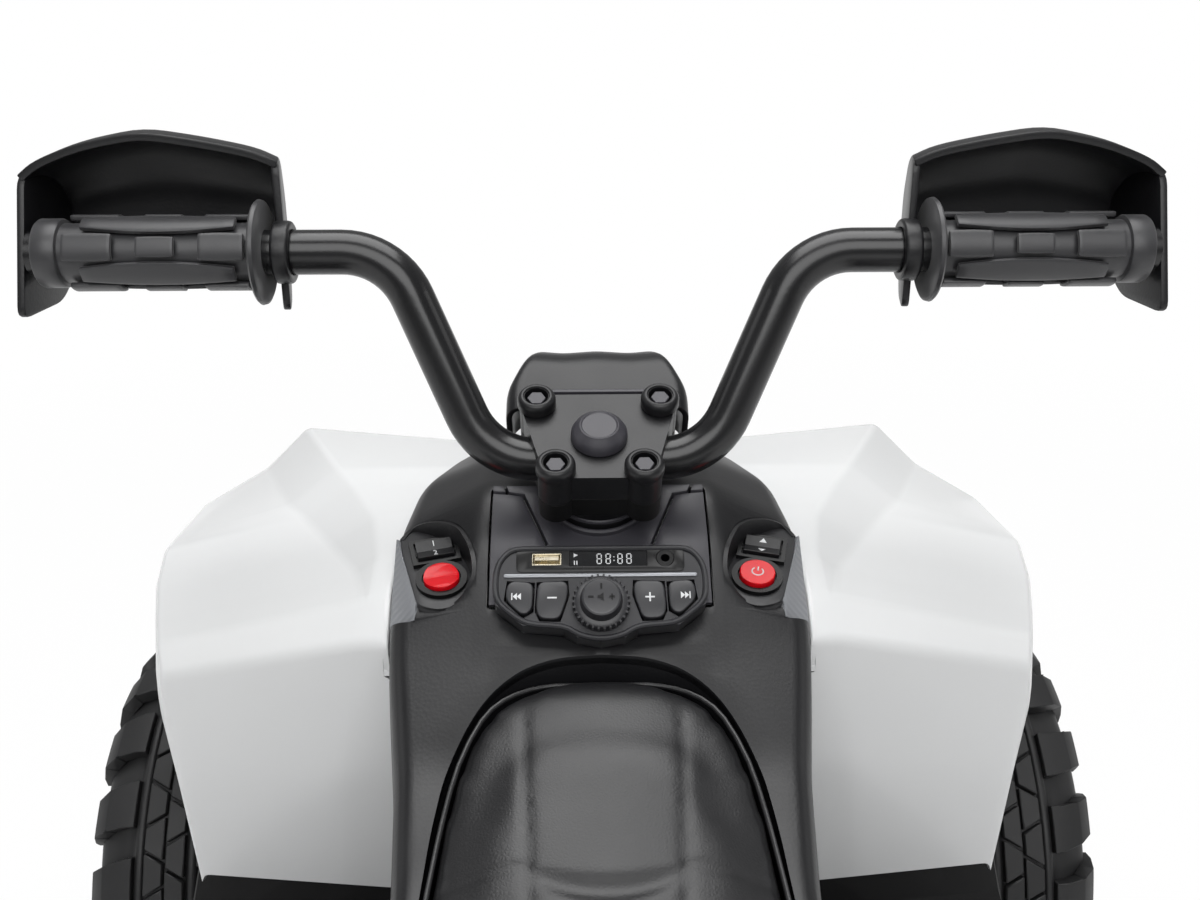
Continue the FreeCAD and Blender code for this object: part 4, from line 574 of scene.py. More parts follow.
def tank_top(x, y):
    half = blend(TANK, y, 1)
    shoulder = blend(TANK, y, 2)
    crown = blend(TANK, y, 3)
    flat = tank_flat(half)
    share = limited((abs(x) - flat) / (half - TANK_ROUND - flat))
    return crown + (shoulder - crown) * share


# Seat cushion: place along the bike, half width, height of the top and how far the edge drops from it
SEAT = [
    (83, 10, 407.5, 2.5), (82, 20, 410.5, 3.5), (78.5, 31.5, 413, 5.5), (71, 43, 414, 7),
    (62, 51.5, 411.5, 8), (42, 59.9, 404.5, 9.5), (21, 65, 393, 11), (-12.7, 69.4, 379.5, 12.5),
    (-35, 70.5, 372, 13.5), (-95, 74, 356, 14), (-145, 78.5, 352, 14), (-215, 84, 358, 14),
    (-295, 84, 370, 14), (-355, 77, 378, 14), (-380, 66, 375, 13), (-390, 52, 371, 11),
]
# Seen from above: the right half of the seat's hole in the tank, and the right switch recess
WELL = [
    (0, 88), (20, 87), (36, 82.5), (48.8, 73.5), (59, 60), (66, 44), (69.8, 20), (72, -5), (74, -35),
    (77.5, -95), (82, -145),
]
RECESS = [
    (82.5, 109), (72, 106), (62, 110), (56, 117), (56.5, 125), (60, 135), (65, 145), (72, 152), (82, 158),
    (91, 160), (95, 152), (92.6, 141),
]
# The right half of the console, in the plane of its face
CONSOLE_EDGE = [
    (0, 19.3), (41, 19.3), (46.8, 12), (47.7, 2), (46.3, -8), (34.3, -17.5), (16.2, -19), (10.5, -23),
    (0, -25),
]
CONSOLE_GAP = 0.3


def console_loop(grow):
    side = [(x + (grow if x else 0), w + (grow if w > 0 else -grow)) for x, w in CONSOLE_EDGE]
    loop = side + [(-x, w) for x, w in reversed(side[1:-1])]
    return softened_loop(loop, 5.0, 3)


def console_cutter():
    return settle(slab(console_loop(CONSOLE_GAP), -24, 24), CONSOLE)


def collar_cutter():
    return settle(turned([(-60, 0), (-60, 22.5), (10, 22.5), (10, 0)], 48), STEERING @ X_TO_Z)


def recess_outline(sign):
    return [(sign * x, y) for x, y in softened_loop(RECESS, 4.0, 3)]


# The slanted facet on the outer side of a switch, and how much larger its cutter is
FACET = [(96.6, 153, 443.5), (83.0, 111.5, 431.5), (83.5, 106, 425), (96.2, 115, 416)]
FACET_CUT = 1.06
UNIT = [(0, 0), (1, 0), (1, 1), (0, 1)]


# A block between two distances off the facet
def facet_block(sign, low, high, grow=1.0):
    corners = [Vector((sign * x, y, z)) for x, y, z in FACET]
    out = (corners[1] - corners[0]).cross(corners[3] - corners[0]).normalized() * sign
    centre = sum(corners, Vector()) / len(corners)
    corners = [centre + (corner - centre) * grow for corner in corners]
    piece = slab(UNIT, 0, 1)
    for vertex in piece.data.vertices:
        corner = corners[UNIT.index((round(vertex.co.x / MM), round(vertex.co.y / MM)))]
        rise = low if vertex.co.z < 0.5 * MM else high
        vertex.co = (corner + out * rise) * MM
    return closed_up(piece)


def tank_cover():
    rows = []
    for y, half, shoulder, crown in reversed(TANK):
        foot = 91.9 if y < 250 else 65.9
        waist = TANK_FOOT + 0.45 * (shoulder - TANK_FOOT)
        rows.append(both_ways([(foot, y, TANK_FOOT), (max(foot, 0.97 * half), y, waist),
                               (half + 0.4, y, shoulder - 24), (half - 1, y, shoulder - 6),
                               (half - TANK_ROUND, y, shoulder), (tank_flat(half), y, crown), (0, y, crown)]))
    piece = walled(sheet(softened_grid(rows, 4.0, 10.0)), TANK_WALL)
    well = softened(WELL, 8.0)
    left_well = [(-x, y) for x, y in reversed(well[1:])]
    cutters = [slab(well + left_well, 250, 470)]
    for sign in SIDES:
        cutters.append(slab(recess_outline(sign), 410, 480))
        cutters.append(facet_block(sign, 0.0, 30.0, FACET_CUT))
    cutters.append(console_cutter())
    cutters.append(collar_cutter())
    cutters.append(slab(softened_loop(rectangle(0, 132.5, 102.4, 56.4), 2.0, 2), 420, 480))
    bevelled(cut(piece, *cutters), 0.6, 2, 50.0)
    dress(piece, "tank_cover_shell", BLACK, "chassis", "black_plastic", "tank_cover")
    lip = [[(x, y, tank_top(x, y) - drop) for x, y in left_well + well] for drop in (1.2, 35.2)]
    dress(walled(sheet(lip), -2.0), "seat_arch_lip", BLACK, "chassis", "black_plastic")


tank_cover()


# Flange and bead round the steering collar
def collar_rings():
    flange = turned([(-27.0, 22.15), (-24.6, 22.15), (-23.4, 22.9), (-23.4, 23.6), (-24.2, 24.4),
                     (-27.0, 24.4)], 56)
    ring = turned([(-20.6, 22.1), (-18.0, 22.1), (-18.4, 22.8), (-19.3, 23.1), (-20.2, 22.8)], 56)
    piece = settle(joined([flange, ring]), STEERING @ X_TO_Z)
    dress(piece, "collar_rings", DASH, "chassis", "black_plastic")


collar_rings()


# Raised dash panel round the console, with grooves that split it into plates
GROOVES = [
    ((35.7, 154.7), (24.5, 129)), ((52, 156.5), (43, 156)), ((43, 156), (35.7, 154.7)), ((43, 156), (46, 163)),
]
GROOVE_HALF = 0.8
DASH_REAR = 105.5
DASH_LONG = 54.5
DASH_STEPS = 12
DASH_RISE = 0.6


def groove_cutter(sign, start, end):
    start = Vector(start)
    end = Vector(end)
    way = (end - start).normalized() * GROOVE_HALF
    side = Vector((-way.y, way.x))
    corners = [start - way + side, end + way + side, end + way - side, start - way - side]
    return slab([(sign * x, y) for x, y in corners], 430, 480)


def dash_panel():
    rows = []
    for n in range(DASH_STEPS + 1):
        y = DASH_REAR + DASH_LONG * n / DASH_STEPS
        rows.append([(x, y, blend(TANK, y, 3) + DASH_RISE) for x in range(-50, 51, 10)])
    piece = walled(sheet(rows), 3.0)
    cutters = [console_cutter(), collar_cutter()]
    for sign in SIDES:
        for start, end in GROOVES:
            cutters.append(groove_cutter(sign, start, end))
    bevelled(cut(piece, *cutters), 0.5, 2, 50.0)
    dress(piece, "dash_panel_plates", DASH, "chassis", "dash_plastic", "dash_panel")


dash_panel()


# Switch recesses: inner wall, brushed floor that rises ahead as the switches do, and the silver facet behind
SWITCH_SLOPE = 0.2867


def switch_floor(y):
    return SWITCH_Z + (y - SWITCH_Y) * SWITCH_SLOPE


def switch_recess(sign):
    plate = slab(recess_outline(sign), 0.0, 1.0)
    for vertex in plate.data.vertices:
        rise = -5.0 if vertex.co.z < 0.5 * MM else 0.2
        vertex.co.z = (switch_floor(vertex.co.y / MM) + rise) * MM
    dress(bevelled(plate, 0.5), "switch_floor_" + SIDES[sign], BRUSHED, "chassis", "black_plastic")
    line = softened(RECESS[:11], 4.0, 3)
    low = [(sign * x, y, switch_floor(y) - 1) for x, y in line]
    high = [(sign * x, y, max(tank_top(x, y) - 0.6, switch_floor(y))) for x, y in line]
    wall = walled(sheet([low, high] if sign < 0 else [high, low]), 2.0)
    dress(wall, "switch_wall_" + SIDES[sign], BLACK, "chassis", "black_plastic")
    facet = bevelled(facet_block(sign, -4.0, 0.5), 0.4)
    dress(facet, "switch_facet_" + SIDES[sign], SILVER, "chassis", "black_plastic")


for sign in SIDES:
    switch_recess(sign)


# Steering pod ahead of the clamp: place ahead of the axis, height, half width and depth
POD = [
    (31, 3, 44, 25), (45, 6, 44, 34), (60, 8, 37.8, 43), (68, 5, 35.2, 42), (82, -6, 32.6, 30),
    (92, -20, 29, 14),
]


def steering_pod():
    rows = []
    for place, high, half, deep in POD:
        rows.append(both_ways([(half, place, high - deep), (half, place, high - 4.8),
                               (0.9 * half, place, high), (0.5 * half, place, high - 1.5), (0, place, high)]))
    hood = walled(sheet(softened_grid(rows, 4.0, 6.0)), 3.0)
    tongue = slab(softened_loop([(-13, 28.4), (13, 28.4), (13, 45), (-13, 45)], 3.0, 3), -3.0, 1.5)
    piece = settle(bevelled(joined([hood, tongue]), 0.7), STEERING)
    dress(piece, "steering_pod_hood", BLACK, "steering", "black_plastic", "steering_pod")


steering_pod()


# Upright plate between the clamp and the pod
def pod_plate():
    outline = softened_loop([(-36, -22), (36, -22), (36, 8), (31, 14), (-31, 14), (-36, 8)], 4.0, 3)
    piece = bevelled(slab(outline, 0.0, 2.0), 0.5)
    settle(piece, STEERING @ shift(0, 32, 0) @ turn(90, "X"))
    dress(piece, "pod_plate", DASH, "steering", "black_plastic")


pod_plate()


# Plain dome in the middle of the clamp
def clamp_dome():
    outline = [(14.0, 0), (14.0, 12.4), (14.6, 12.9), (17.2, 12.7), (19.6, 11.4), (21.2, 9.4), (21.9, 8.9),
               (22.1, 8.3), (21.7, 7.7), (21.6, 0)]
    piece = settle(turned(outline, 56), STEERING @ X_TO_Z)
    dress(piece, "clamp_dome_cap", DASH, "steering", "black_plastic", "clamp_dome")


clamp_dome()


# Rounded shoulders on the four bosses of the clamp
BOSSES = [(-28.5, 21), (28.5, 21), (-19.5, -21), (19.5, -21)]


def boss_shoulders():
    outline = [(14.4, 5.7), (20.3, 5.7), (20.8, 6.3), (20.6, 7.3), (19.8, 8.3), (18.4, 8.9), (14.4, 8.9)]
    ring = settle(turned(softened_loop(outline, 0.6, 2), 40), X_TO_Z)
    pieces = [copied(ring, shift(x, y, 0)) for x, y in BOSSES]
    bpy.data.objects.remove(ring)
    dress(settle(joined(pieces), STEERING), "boss_shoulders", BLACK, "steering", "black_plastic", sharp=50.0)


boss_shoulders()


# Hand guards: a curved shell open to the rider between two end plates, round the axis of the grips
GUARD_INNER = 140.6
GUARD_LONG = 115.3
GUARD_HIGH = 55
GUARD_DEEP = 46
GUARD_REAR = 5.5
GUARD_FOOT = 552.7
GUARD_WALL = 3.5
TUBE_BORE = 10.1
# Share of the guard's length, and share of its height there
GUARD_ARCH = [(0, 0.75), (0.09, 0.84), (0.30, 0.93), (0.52, 1.0), (0.76, 0.90), (0.93, 0.76), (1.0, 0.64)]


# A section of the shell, from its lower edge in front over the top to the rider's side
def guard_row(place, share):
    top = GUARD_HIGH * share
    row = []
    for y, z in ((30.4, -17.6), (43.7, -4.4), (46, 0.45 * top), (33.1, 0.84 * top), (18.4, 0.97 * top),
                 (GUARD_REAR, 0.95 * top)):
        lean = 9 * (1 - 1.6 * place) * (y - GUARD_REAR) / GUARD_DEEP
        row.append((GUARD_INNER + place * GUARD_LONG + lean, GRIP_Y + y, GRIP_Z + z))
    return row


def guard_plate(sign, row, base, lean, inset, back):
    outline = [(y, z) for x, y, z in row[1:]] + [(back, GUARD_FOOT), (186, GUARD_FOOT), (200, 562)]
    plate = slab(softened_loop(outline, 6.0), inset, inset + GUARD_WALL)
    for vertex in plate.data.vertices:
        y, z, x = (c / MM for c in vertex.co)
        x += base + lean * (y - GRIP_Y - GUARD_REAR) / GUARD_DEEP
        vertex.co = (sign * x * MM, y * MM, z * MM)
    return closed_up(plate)


def hand_guard(sign):
    rows = [guard_row(place, share) for place, share in GUARD_ARCH]
    grid = softened_grid(rows, 9.0, 10.0)
    shell = sheet(grid if sign > 0 else [[(-x, y, z) for x, y, z in row] for row in reversed(grid)])
    pieces = [walled(shell, GUARD_WALL)]
    pieces.append(guard_plate(sign, rows[0], GUARD_INNER, 9.0, 0.0, 163))
    pieces.append(guard_plate(sign, rows[-1], GUARD_INNER + GUARD_LONG, -5.4, -GUARD_WALL, 152))
    boss = turned([(0, TUBE_BORE), (0, 13), (1, 14), (7, 14), (8, 13), (8, TUBE_BORE)], 40)
    pieces.append(settle(boss, shift(136.1 if sign > 0 else -144.1, GRIP_Y, GRIP_Z)))
    return bevelled(joined(pieces), 0.9)


guards = joined([hand_guard(sign) for sign in SIDES])
dress(guards, "hand_guard_shells", BLACK, "steering", "black_plastic", "hand_guards")


# Grips: ribbed rubber sleeves with raised pads, a flange and an end collar
SLEEVE = 13.2
PAD_OUTER = 14.5
PAD_STEPS_LONG = 12
PAD_STEPS_WIDE = 6


# A pad on the sleeve: its ends, angle round the sleeve, width, and the share that its ends are narrower by
def pad(start, end, angle, width, bow):
    rows = []
    for n in range(PAD_STEPS_LONG + 1):
        place = n / PAD_STEPS_LONG
        half = width / 2 * (1 - bow + bow * math.sin(math.pi * place))
        row = []
        for m in range(PAD_STEPS_WIDE + 1):
            swing = math.radians(angle) + (m / PAD_STEPS_WIDE - 0.5) * 2 * half / SLEEVE
            x = start + (end - start) * place
            row.append((x, -PAD_OUTER * math.cos(swing), PAD_OUTER * math.sin(swing)))
        rows.append(row)
    return bevelled(walled(sheet(rows), 2.4), 0.6, 2, 50.0)


def grip(sign):
    outline = [(148.2, TUBE_BORE), (148.2, 21.6), (148.9, 23.0), (150.4, 23.4), (151.3, 22.6), (151.9, 20),
               (152.6, 15), (154.0, SLEEVE), (236.2, SLEEVE), (236.6, 14.9), (237.4, 15.3), (246.2, 15.3),
               (247.0, 14.8), (247.4, 13.6), (247.4, TUBE_BORE)]
    pieces = [turned(outline, 56)]
    for n in range(4):
        for start, end, width in ((154.4, 174.0, 10.4), (184.5, 201.0, 7.6), (211.5, 233.0, 10.4)):
            pieces.append(pad(start, end, 21 + 90 * n, width, 0.06))
        pieces.append(pad(159.0, 226.0, 66 + 90 * n, 10.2, 0.42))
    piece = joined([closed_up(p) for p in pieces])
    if sign < 0:
        for vertex in piece.data.vertices:
            vertex.co.x = -vertex.co.x
        edit_all(piece)
        bpy.ops.mesh.flip_normals()
        clear()
    return settle(piece, shift(0, GRIP_Y, GRIP_Z))


grips = joined([grip(sign) for sign in SIDES])
dress(grips, "grip_sleeves", RUBBER, "steering", "grip_rubber", "grips")


# Console: rim, strip, trim, display digits and printed symbols. Lengths are in the plane of its face, and
# heights, from low to high, stand on it
STRIP = (3.6, 4.5)
TRIM = (3.6, 4.7)
HOLE = (0, 9)
DISPLAY_INK = (4.02, 4.1)
KEY_INK = (6.01, 6.1)
KNOB_INK = (13.8, 13.95)
STRIP_ROW = 13.4
KNOB_ROW = -8


def on_console(piece):
    return settle(piece, CONSOLE)


def console_details():
    rim = bead([(x, w, 4.0) for x, w in console_loop(-0.9)], 1.35, ring=True)
    dress(on_console(rim), "console_rim", CONSOLE_ABS, "chassis", "console_plastic")
    strip = slab(softened_loop(rectangle(0, 12.5, 75, 10.6), 2.5, 3), *STRIP)
    openings = [rectangle(-24, STRIP_ROW, 13.4, 6.0), rectangle(3.6, STRIP_ROW, 34.8, 7.4)]
    holes = [slab(opening, *HOLE) for opening in openings]
    round_hole = turned([(-9, 0), (-9, 4.1), (9, 4.1), (9, 0)], 32)
    holes.append(settle(round_hole, shift(29, STRIP_ROW, 0) @ X_TO_Z))
    strip = on_console(bevelled(cut(strip, *holes), 0.3))
    dress(strip, "console_strip", GLOSS_BLACK, "chassis", "console_plastic")
    trim = bevelled(slab(softened_loop(rectangle(0, 5.5, 86, 1.7), 0.6, 2), *TRIM), 0.35)
    dress(on_console(trim), "console_trim", SILVER, "chassis", "console_plastic")


# Bars of a digit: their middles, and whether they stand upright
BARS = [
    (0, 2.3, False), (0.95, 1.15, True), (0.95, -1.15, True), (0, -2.3, False), (-0.95, -1.15, True),
    (-0.95, 1.15, True), (0, 0, False),
]
BAR_HALF = 0.24


def display_digits():
    bars = []
    for x, w, upright in BARS:
        end = (2.0 if upright else 1.7) / 2
        line = [(-end, 0), (-end + BAR_HALF, -BAR_HALF), (end - BAR_HALF, -BAR_HALF), (end, 0),
                (end - BAR_HALF, BAR_HALF), (-end + BAR_HALF, BAR_HALF)]
        bars.append(slab([(x - b, w + a) if upright else (x + a, w + b) for a, b in line], *DISPLAY_INK))
    digit = joined(bars)
    pieces = [copied(digit, shift(x, STRIP_ROW, 0)) for x in (-0.5, 3.5, 8.8, 12.8)]
    bpy.data.objects.remove(digit)
    for w in (12.5, 14.3):
        pieces.append(slab(rectangle(6.1, w, 0.5, 0.5), *DISPLAY_INK))
    pieces.append(slab([(-11.9, 14.2), (-10, 15.2), (-11.9, 16.2)], *DISPLAY_INK))
    for x in (-11.6, -10.5):
        pieces.append(slab(rectangle(x, 11.6, 0.5, 2.0), *DISPLAY_INK))
    dress(on_console(joined(pieces)), "display_digits", PRINT, "chassis", "display_glass")


# Keys with rounded corners, each on its own push
KEYS = [
    ("outer", [(29.6, 1.8), (41.0, 2.6), (42.2, -6.0), (34.3, -13.6), (30.1, -11.0)]),
    ("inner", [(14.8, 2.6), (27.9, 2.0), (28.6, -11.0), (26.7, -15.0), (18.1, -15.4), (14.3, -4.0)]),
]


def keys():
    for place, outline in KEYS:
        for sign in SIDES:
            name = "console_button_" + place + "_" + SIDES[sign]
            key = slab([(sign * x, w) for x, w in softened_loop(outline, 3.6, 5)], -1.3, 6.0)
            key = on_console(bevelled(key, 0.7, 3))
            dress(key, name + "_key", CONSOLE_ABS, name, "console_plastic", name)


# Printed key symbols: skip arrows outside, plus and minus inside
def key_symbols():
    for sign in SIDES:
        pieces = []
        x = sign * 36
        for n in (0, 1):
            tip = x + sign * (1.8 * n + 0.9)
            pieces.append(slab([(tip - sign * 1.8, -6.4), (tip, -4.8), (tip - sign * 1.8, -3.2)], *KEY_INK))
        pieces.append(slab(rectangle(x + sign * 3.1, -4.8, 0.5, 3.2), *KEY_INK))
        body = "console_button_outer_" + SIDES[sign]
        dress(on_console(joined(pieces)), "skip_mark_" + SIDES[sign], PRINT, body, "console_plastic")
        x = sign * 21.5
        pieces = [slab(rectangle(x, -5.5, 4.2, 0.7), *KEY_INK)]
        if sign > 0:
            pieces.append(slab(rectangle(x, -5.5, 0.7, 4.2), *KEY_INK))
        body = "console_button_inner_" + SIDES[sign]
        dress(on_console(joined(pieces)), "level_mark_" + SIDES[sign], PRINT, body, "console_plastic")


# Volume knob: a flat-topped cap on a knurled skirt, with level signs and a pointer on top
RIDGES = 30


def volume_knob():
    cap = turned([(-5, 0), (-5, 2.9), (4.6, 2.9), (4.6, 12.2), (5.2, 12.6), (7.6, 11.9), (8.2, 11.0),
                  (8.4, 9.4), (12.6, 8.9), (13.5, 8.5), (13.8, 7.8), (13.6, 6.8), (13.5, 0)], 48)
    ridge = slab([(11.2, -0.55), (12.75, -0.4), (12.75, 0.4), (11.2, 0.55)], 4.8, 7.9)
    pieces = [settle(cap, X_TO_Z)]
    for n in range(RIDGES):
        pieces.append(copied(ridge, turn(360 / RIDGES * n, "Z")))
    bpy.data.objects.remove(ridge)
    piece = on_console(settle(joined(pieces), shift(0, KNOB_ROW, 0)))
    dress(piece, "volume_knob_cap", CONSOLE_ABS, "volume_knob", "console_plastic", "volume_knob")
    speaker = [(-1.6, -8.6), (-0.6, -8.6), (0.9, -9.8), (0.9, -6.2), (-0.6, -7.4), (-1.6, -7.4)]
    outlines = [rectangle(-4.6, KNOB_ROW, 2.4, 0.7), rectangle(4.6, KNOB_ROW, 2.4, 0.7),
                rectangle(4.6, KNOB_ROW, 0.7, 2.4), speaker, rectangle(0, -3.2, 0.8, 2.6)]
    marks = joined([slab(outline, *KNOB_INK) for outline in outlines])
    dress(on_console(marks), "volume_mark", GLOSS_BLACK, "volume_knob", "console_plastic")


console_details()
display_digits()
keys()
key_symbols()
volume_knob()


# Marks on the switches: plain digits and arrows on the rockers, a power ring on the push button
ROCKER_SLOPE = 16
ROCKER_FACE = 3.36
ROCKER_MIDDLE = 10
DIGIT_TALL = 4.4
PUSH_ROW = -9.68
PUSH_FACE = 4.42
POWER_RADIUS = 2.6
POWER_LINE = 0.32


# The tilt of a mark on the front or the rear slope of a rocker
def on_slope(row):
    return turn(ROCKER_SLOPE if row > ROCKER_MIDDLE else -ROCKER_SLOPE, "X")


def drive_marks():
    for text, row, stretch in (("1", 13.5, 1.0), ("2", 7.0, 1.5)):
        clear()
        bpy.ops.object.text_add()
        mark = bpy.context.object
        mark.data.body = text
        mark.data.size = DIGIT_TALL * MM
        mark.data.align_x = "CENTER"
        mark.data.align_y = "CENTER"
        mark.data.extrude = 0.06 * MM
        bpy.ops.object.convert(target="MESH")
        mark = bpy.context.object
        taller = Matrix.Diagonal((1, stretch, 1, 1))
        settle(mark, SWITCH[-1] @ shift(0, row, ROCKER_FACE) @ on_slope(row) @ taller)
        dress(mark, "drive_mark_" + text, PRINT, "drive_mode_rocker", "black_plastic")


def direction_marks():
    for name, row, way in (("ahead", 13.4, 1), ("back", 6.8, -1)):
        arrow = slab([(-1.7, -way * 1.0), (1.7, -way * 1.0), (0, way * 1.4)], -0.06, 0.07)
        settle(arrow, SWITCH[1] @ shift(0, row, ROCKER_FACE) @ on_slope(row))
        dress(arrow, "direction_mark_" + name, PRINT, "direction_rocker", "black_plastic")


def power_mark():
    arc = []
    for degrees in range(40, 321, 14):
        angle = math.radians(degrees)
        arc.append((POWER_RADIUS * math.sin(angle), PUSH_ROW + POWER_RADIUS * math.cos(angle), PUSH_FACE))
    stroke = [(0, -9.2, PUSH_FACE), (0, -6.6, PUSH_FACE)]
    power = joined([bead(arc, POWER_LINE), bead(stroke, POWER_LINE)])
    dress(settle(power, SWITCH[1]), "power_mark", PRINT, "power_button", "red_lens")


drive_marks()
direction_marks()
power_mark()


# Round red rocker with a valley across the middle, cut by a slab whose outline lies along Y and Z
LYING = Matrix(((0, 0, 1, 0), (1, 0, 0, 0), (0, 1, 0, 0), (0, 0, 0, 1)))


def light_rocker():
    cap = settle(turned([(-2.4, 0), (-2.4, 8.2), (4.2, 8.2), (4.2, 0)], 56), X_TO_Z)
    valley = settle(slab([(-9, 4.8), (0, 2.8), (9, 4.8), (9, 8), (-9, 8)], -10, 10), LYING)
    piece = settle(bevelled(cut(cap, valley), 0.6, 3, 12.0), SWITCH[-1] @ shift(0, PUSH_ROW, 0))
    dress(piece, "light_rocker_cap", RED, "light_rocker", "red_lens", "light_rocker", sharp=20.0)


light_rocker()


# Tyres: a turned carcass with a centre rib, trapezoid tiles and wrap-round shoulder lugs
CARCASS = [
    (33.6, 78.1), (45.6, 92), (47.0, 111), (41.5, 124.5), (28.8, 132), (19, 133.6), (18, 139.0),
    (13.4, 139.8), (12.4, 136.6), (0, 137),
]
LUG_LINE = [(18.8, 141.4), (31, 140.6), (42, 135.5), (48.0, 124), (48.8, 110)]
LUGS = 20
TILES = 44
WHEEL_X = 252
WHEEL_Y = 320
WHEEL_Z = 142


def carcass():
    half = softened(CARCASS, 5.0, 3)
    return turned(half + [(-x, r) for x, r in reversed(half[:-1])], 96)


# A shoulder lug that sweeps from the tread round to the side wall
def lug(side):
    rows = []
    for x, r in softened(LUG_LINE, 6.0, 1):
        sweep = 9.0 * ((x - 18) / 30) ** 2
        half = 15.5 - 0.1 * x
        rows.append([(side * x, side * sweep + half * t, r - abs(t) * 0.5) for t in (-1, -0.4, 0.4, 1)])
    piece = walled(sheet(rows if side < 0 else [list(reversed(row)) for row in rows]), 8.0)
    return bevelled(piece, 1.3, 1, 50.0)


# A tile beside the centre line, with half its length at either edge
def tile(side, inner, outer):
    outline = [(side * 0.7, -inner), (side * 11.6, -outer), (side * 11.6, outer), (side * 0.7, inner)]
    return bevelled(slab(outline, 134.0, 141.6), 0.7, 1)


# Copies of the models in turn, evenly round the wheel from a starting angle, in place of the models
def spread_round(models, count, start):
    copies = [copied(models[n % len(models)], turn(360.0 / count * n + start, "X")) for n in range(count)]
    for model in models:
        bpy.data.objects.remove(model)
    return copies


def tyre():
    pieces = [carcass()]
    for side, lug_start, tile_start in ((1, 0.0, 0.0), (-1, 9.0, 4.1)):
        pieces += spread_round([lug(side)], LUGS, lug_start)
        pieces += spread_round([tile(side, 12.0, 6.1), tile(side, 6.1, 12.0)], TILES, tile_start)
    return joined(pieces)


TREAD = tyre()
for end, y in (("front", WHEEL_Y), ("rear", -WHEEL_Y)):
    for sign in SIDES:
        name = end + "_" + SIDES[sign]
        body = end + "_wheel_" + SIDES[sign]
        piece = copied(TREAD, shift(sign * WHEEL_X, y, WHEEL_Z))
        dress(piece, "tyre_tread_" + name, TYRE, body, "tyre_tread", "tyre_" + name, sharp=40.0)
bpy.data.objects.remove(TREAD)


# Seat cushion: a closed form, as much wider as smoothing takes off it, puffed up as cloth and sewn with
# creases
SEAT_DEEP = 43.0
SEAT_SPARE = 2.0
SEAT_LOW = 0.8
SEAT_VOXEL = 5.0
PUFF_PRESSURE = 4.0
PUFF_FRAMES = 20
PUFF_CAP = 2.0
SEAM_X = 33.5
SEAM_DEEP = 0.7
FOLD_X = 30.0
FOLD_DEEP = 1.8


def seat_loop(y, half, top, rise):
    low = top - SEAT_DEEP
    side = [(0.95 * half, low), (0.985 * half, low + 0.5 * (top - rise - low)), (half - 0.5, top - rise - 3)]
    right = side + [(half * math.sin(math.radians(a)), top - rise * math.sin(math.radians(a)) ** 2)
                    for a in (76, 56, 37, 18)]
    loop = [(0, low), (0.5 * half, low)] + right + [(0, top)] + [(-x, z) for x, z in reversed(right)]
    loop += [(-0.5 * half, low), (0, low)]
    return [(x, y, z) for x, z in loop]


def puffed(piece):
    rest = [vertex.co.copy() for vertex in piece.data.vertices]
    pick(piece)
    cloth = piece.modifiers.new("Cloth", "CLOTH")
    cloth.settings.use_pressure = True
    cloth.settings.uniform_pressure_force = PUFF_PRESSURE
    cloth.settings.effector_weights.gravity = 0.0
    for step in range(1, PUFF_FRAMES + 1):
        bpy.context.scene.frame_set(step)
    bpy.ops.object.modifier_apply(modifier=cloth.name)
    bpy.context.scene.frame_set(1)
    for vertex, start in zip(piece.data.vertices, rest):
        move = vertex.co - start
        if move.length > PUFF_CAP * MM:
            vertex.co = start + move.normalized() * PUFF_CAP * MM


# Depth of the two seams along the seat, of the curved fold between them and of the folds beside them
def seat_crease(x, y):
    across = abs(x)
    seam = SEAM_X - 0.05 * min(90.0, max(0.0, 65 - y))
    depth = SEAM_DEEP * math.exp(-((across - seam) / 2.4) ** 2) * limited((72 - y) / 12)
    share = min(1.0, across / FOLD_X)
    fold_front = -11 + 6.5 * share ** 2
    fold_back = -19.5 + 9.5 * share ** 2
    middle = (fold_front + fold_back) / 2
    spread = max(1.8, (fold_front - fold_back) / 2)
    depth += FOLD_DEEP * math.exp(-abs((y - middle) / spread) ** 3) * max(0.0, 1 - share ** 3)
    beside = (y + 4 + 0.05 * (across - FOLD_X)) / 1.8
    return depth + SEAM_DEEP * math.exp(-beside ** 2) * limited((across - 28) / 6)


def seat_cushion():
    rows = [seat_loop(y, half + SEAT_SPARE, top - SEAT_LOW, rise) for y, half, top, rise in SEAT]
    piece = sheet(softened_grid(rows, 2.0, 14.0, 2))
    edit_all(piece)
    bpy.ops.mesh.remove_doubles(threshold=MERGED)
    bpy.ops.mesh.select_all(action="DESELECT")
    bpy.ops.mesh.select_non_manifold()
    bpy.ops.mesh.fill_holes(sides=0)
    bpy.ops.mesh.select_all(action="SELECT")
    bpy.ops.mesh.normals_make_consistent(inside=False)
    clear()
    modified(piece, "REMESH", mode="VOXEL", voxel_size=SEAT_VOXEL * MM)
    puffed(piece)
    modified(piece, "SMOOTH", factor=0.5, iterations=4)
    modified(piece, "SUBSURF", levels=1, render_levels=1)
    for vertex in piece.data.vertices:
        x, y, z = (c / MM for c in vertex.co)
        top = blend(SEAT, y, 2)
        upper = limited((z - top + 26) / 10)
        vertex.co.z = max(z - seat_crease(x, y) * upper, top - SEAT_DEEP - SEAT_LOW) * MM
    dress(piece, "seat_cushion_padded", LEATHER, "seat", "seat_leatherette", "seat_cushion", sharp=60.0)


# Piping round the seat's upper edge, in one line over its nose
def seat_piping():
    edge = softened([(half, y, top - rise - 1.5) for y, half, top, rise in SEAT[1:-1]], 10.0, 2)
    line = [(-x, y, z) for x, y, z in reversed(edge)] + [(0, 83.6, 404.5)] + edge
    dress(bead(line, 1.1), "seat_piping", LEATHER, "seat", "seat_leatherette")


seat_cushion()
seat_piping()

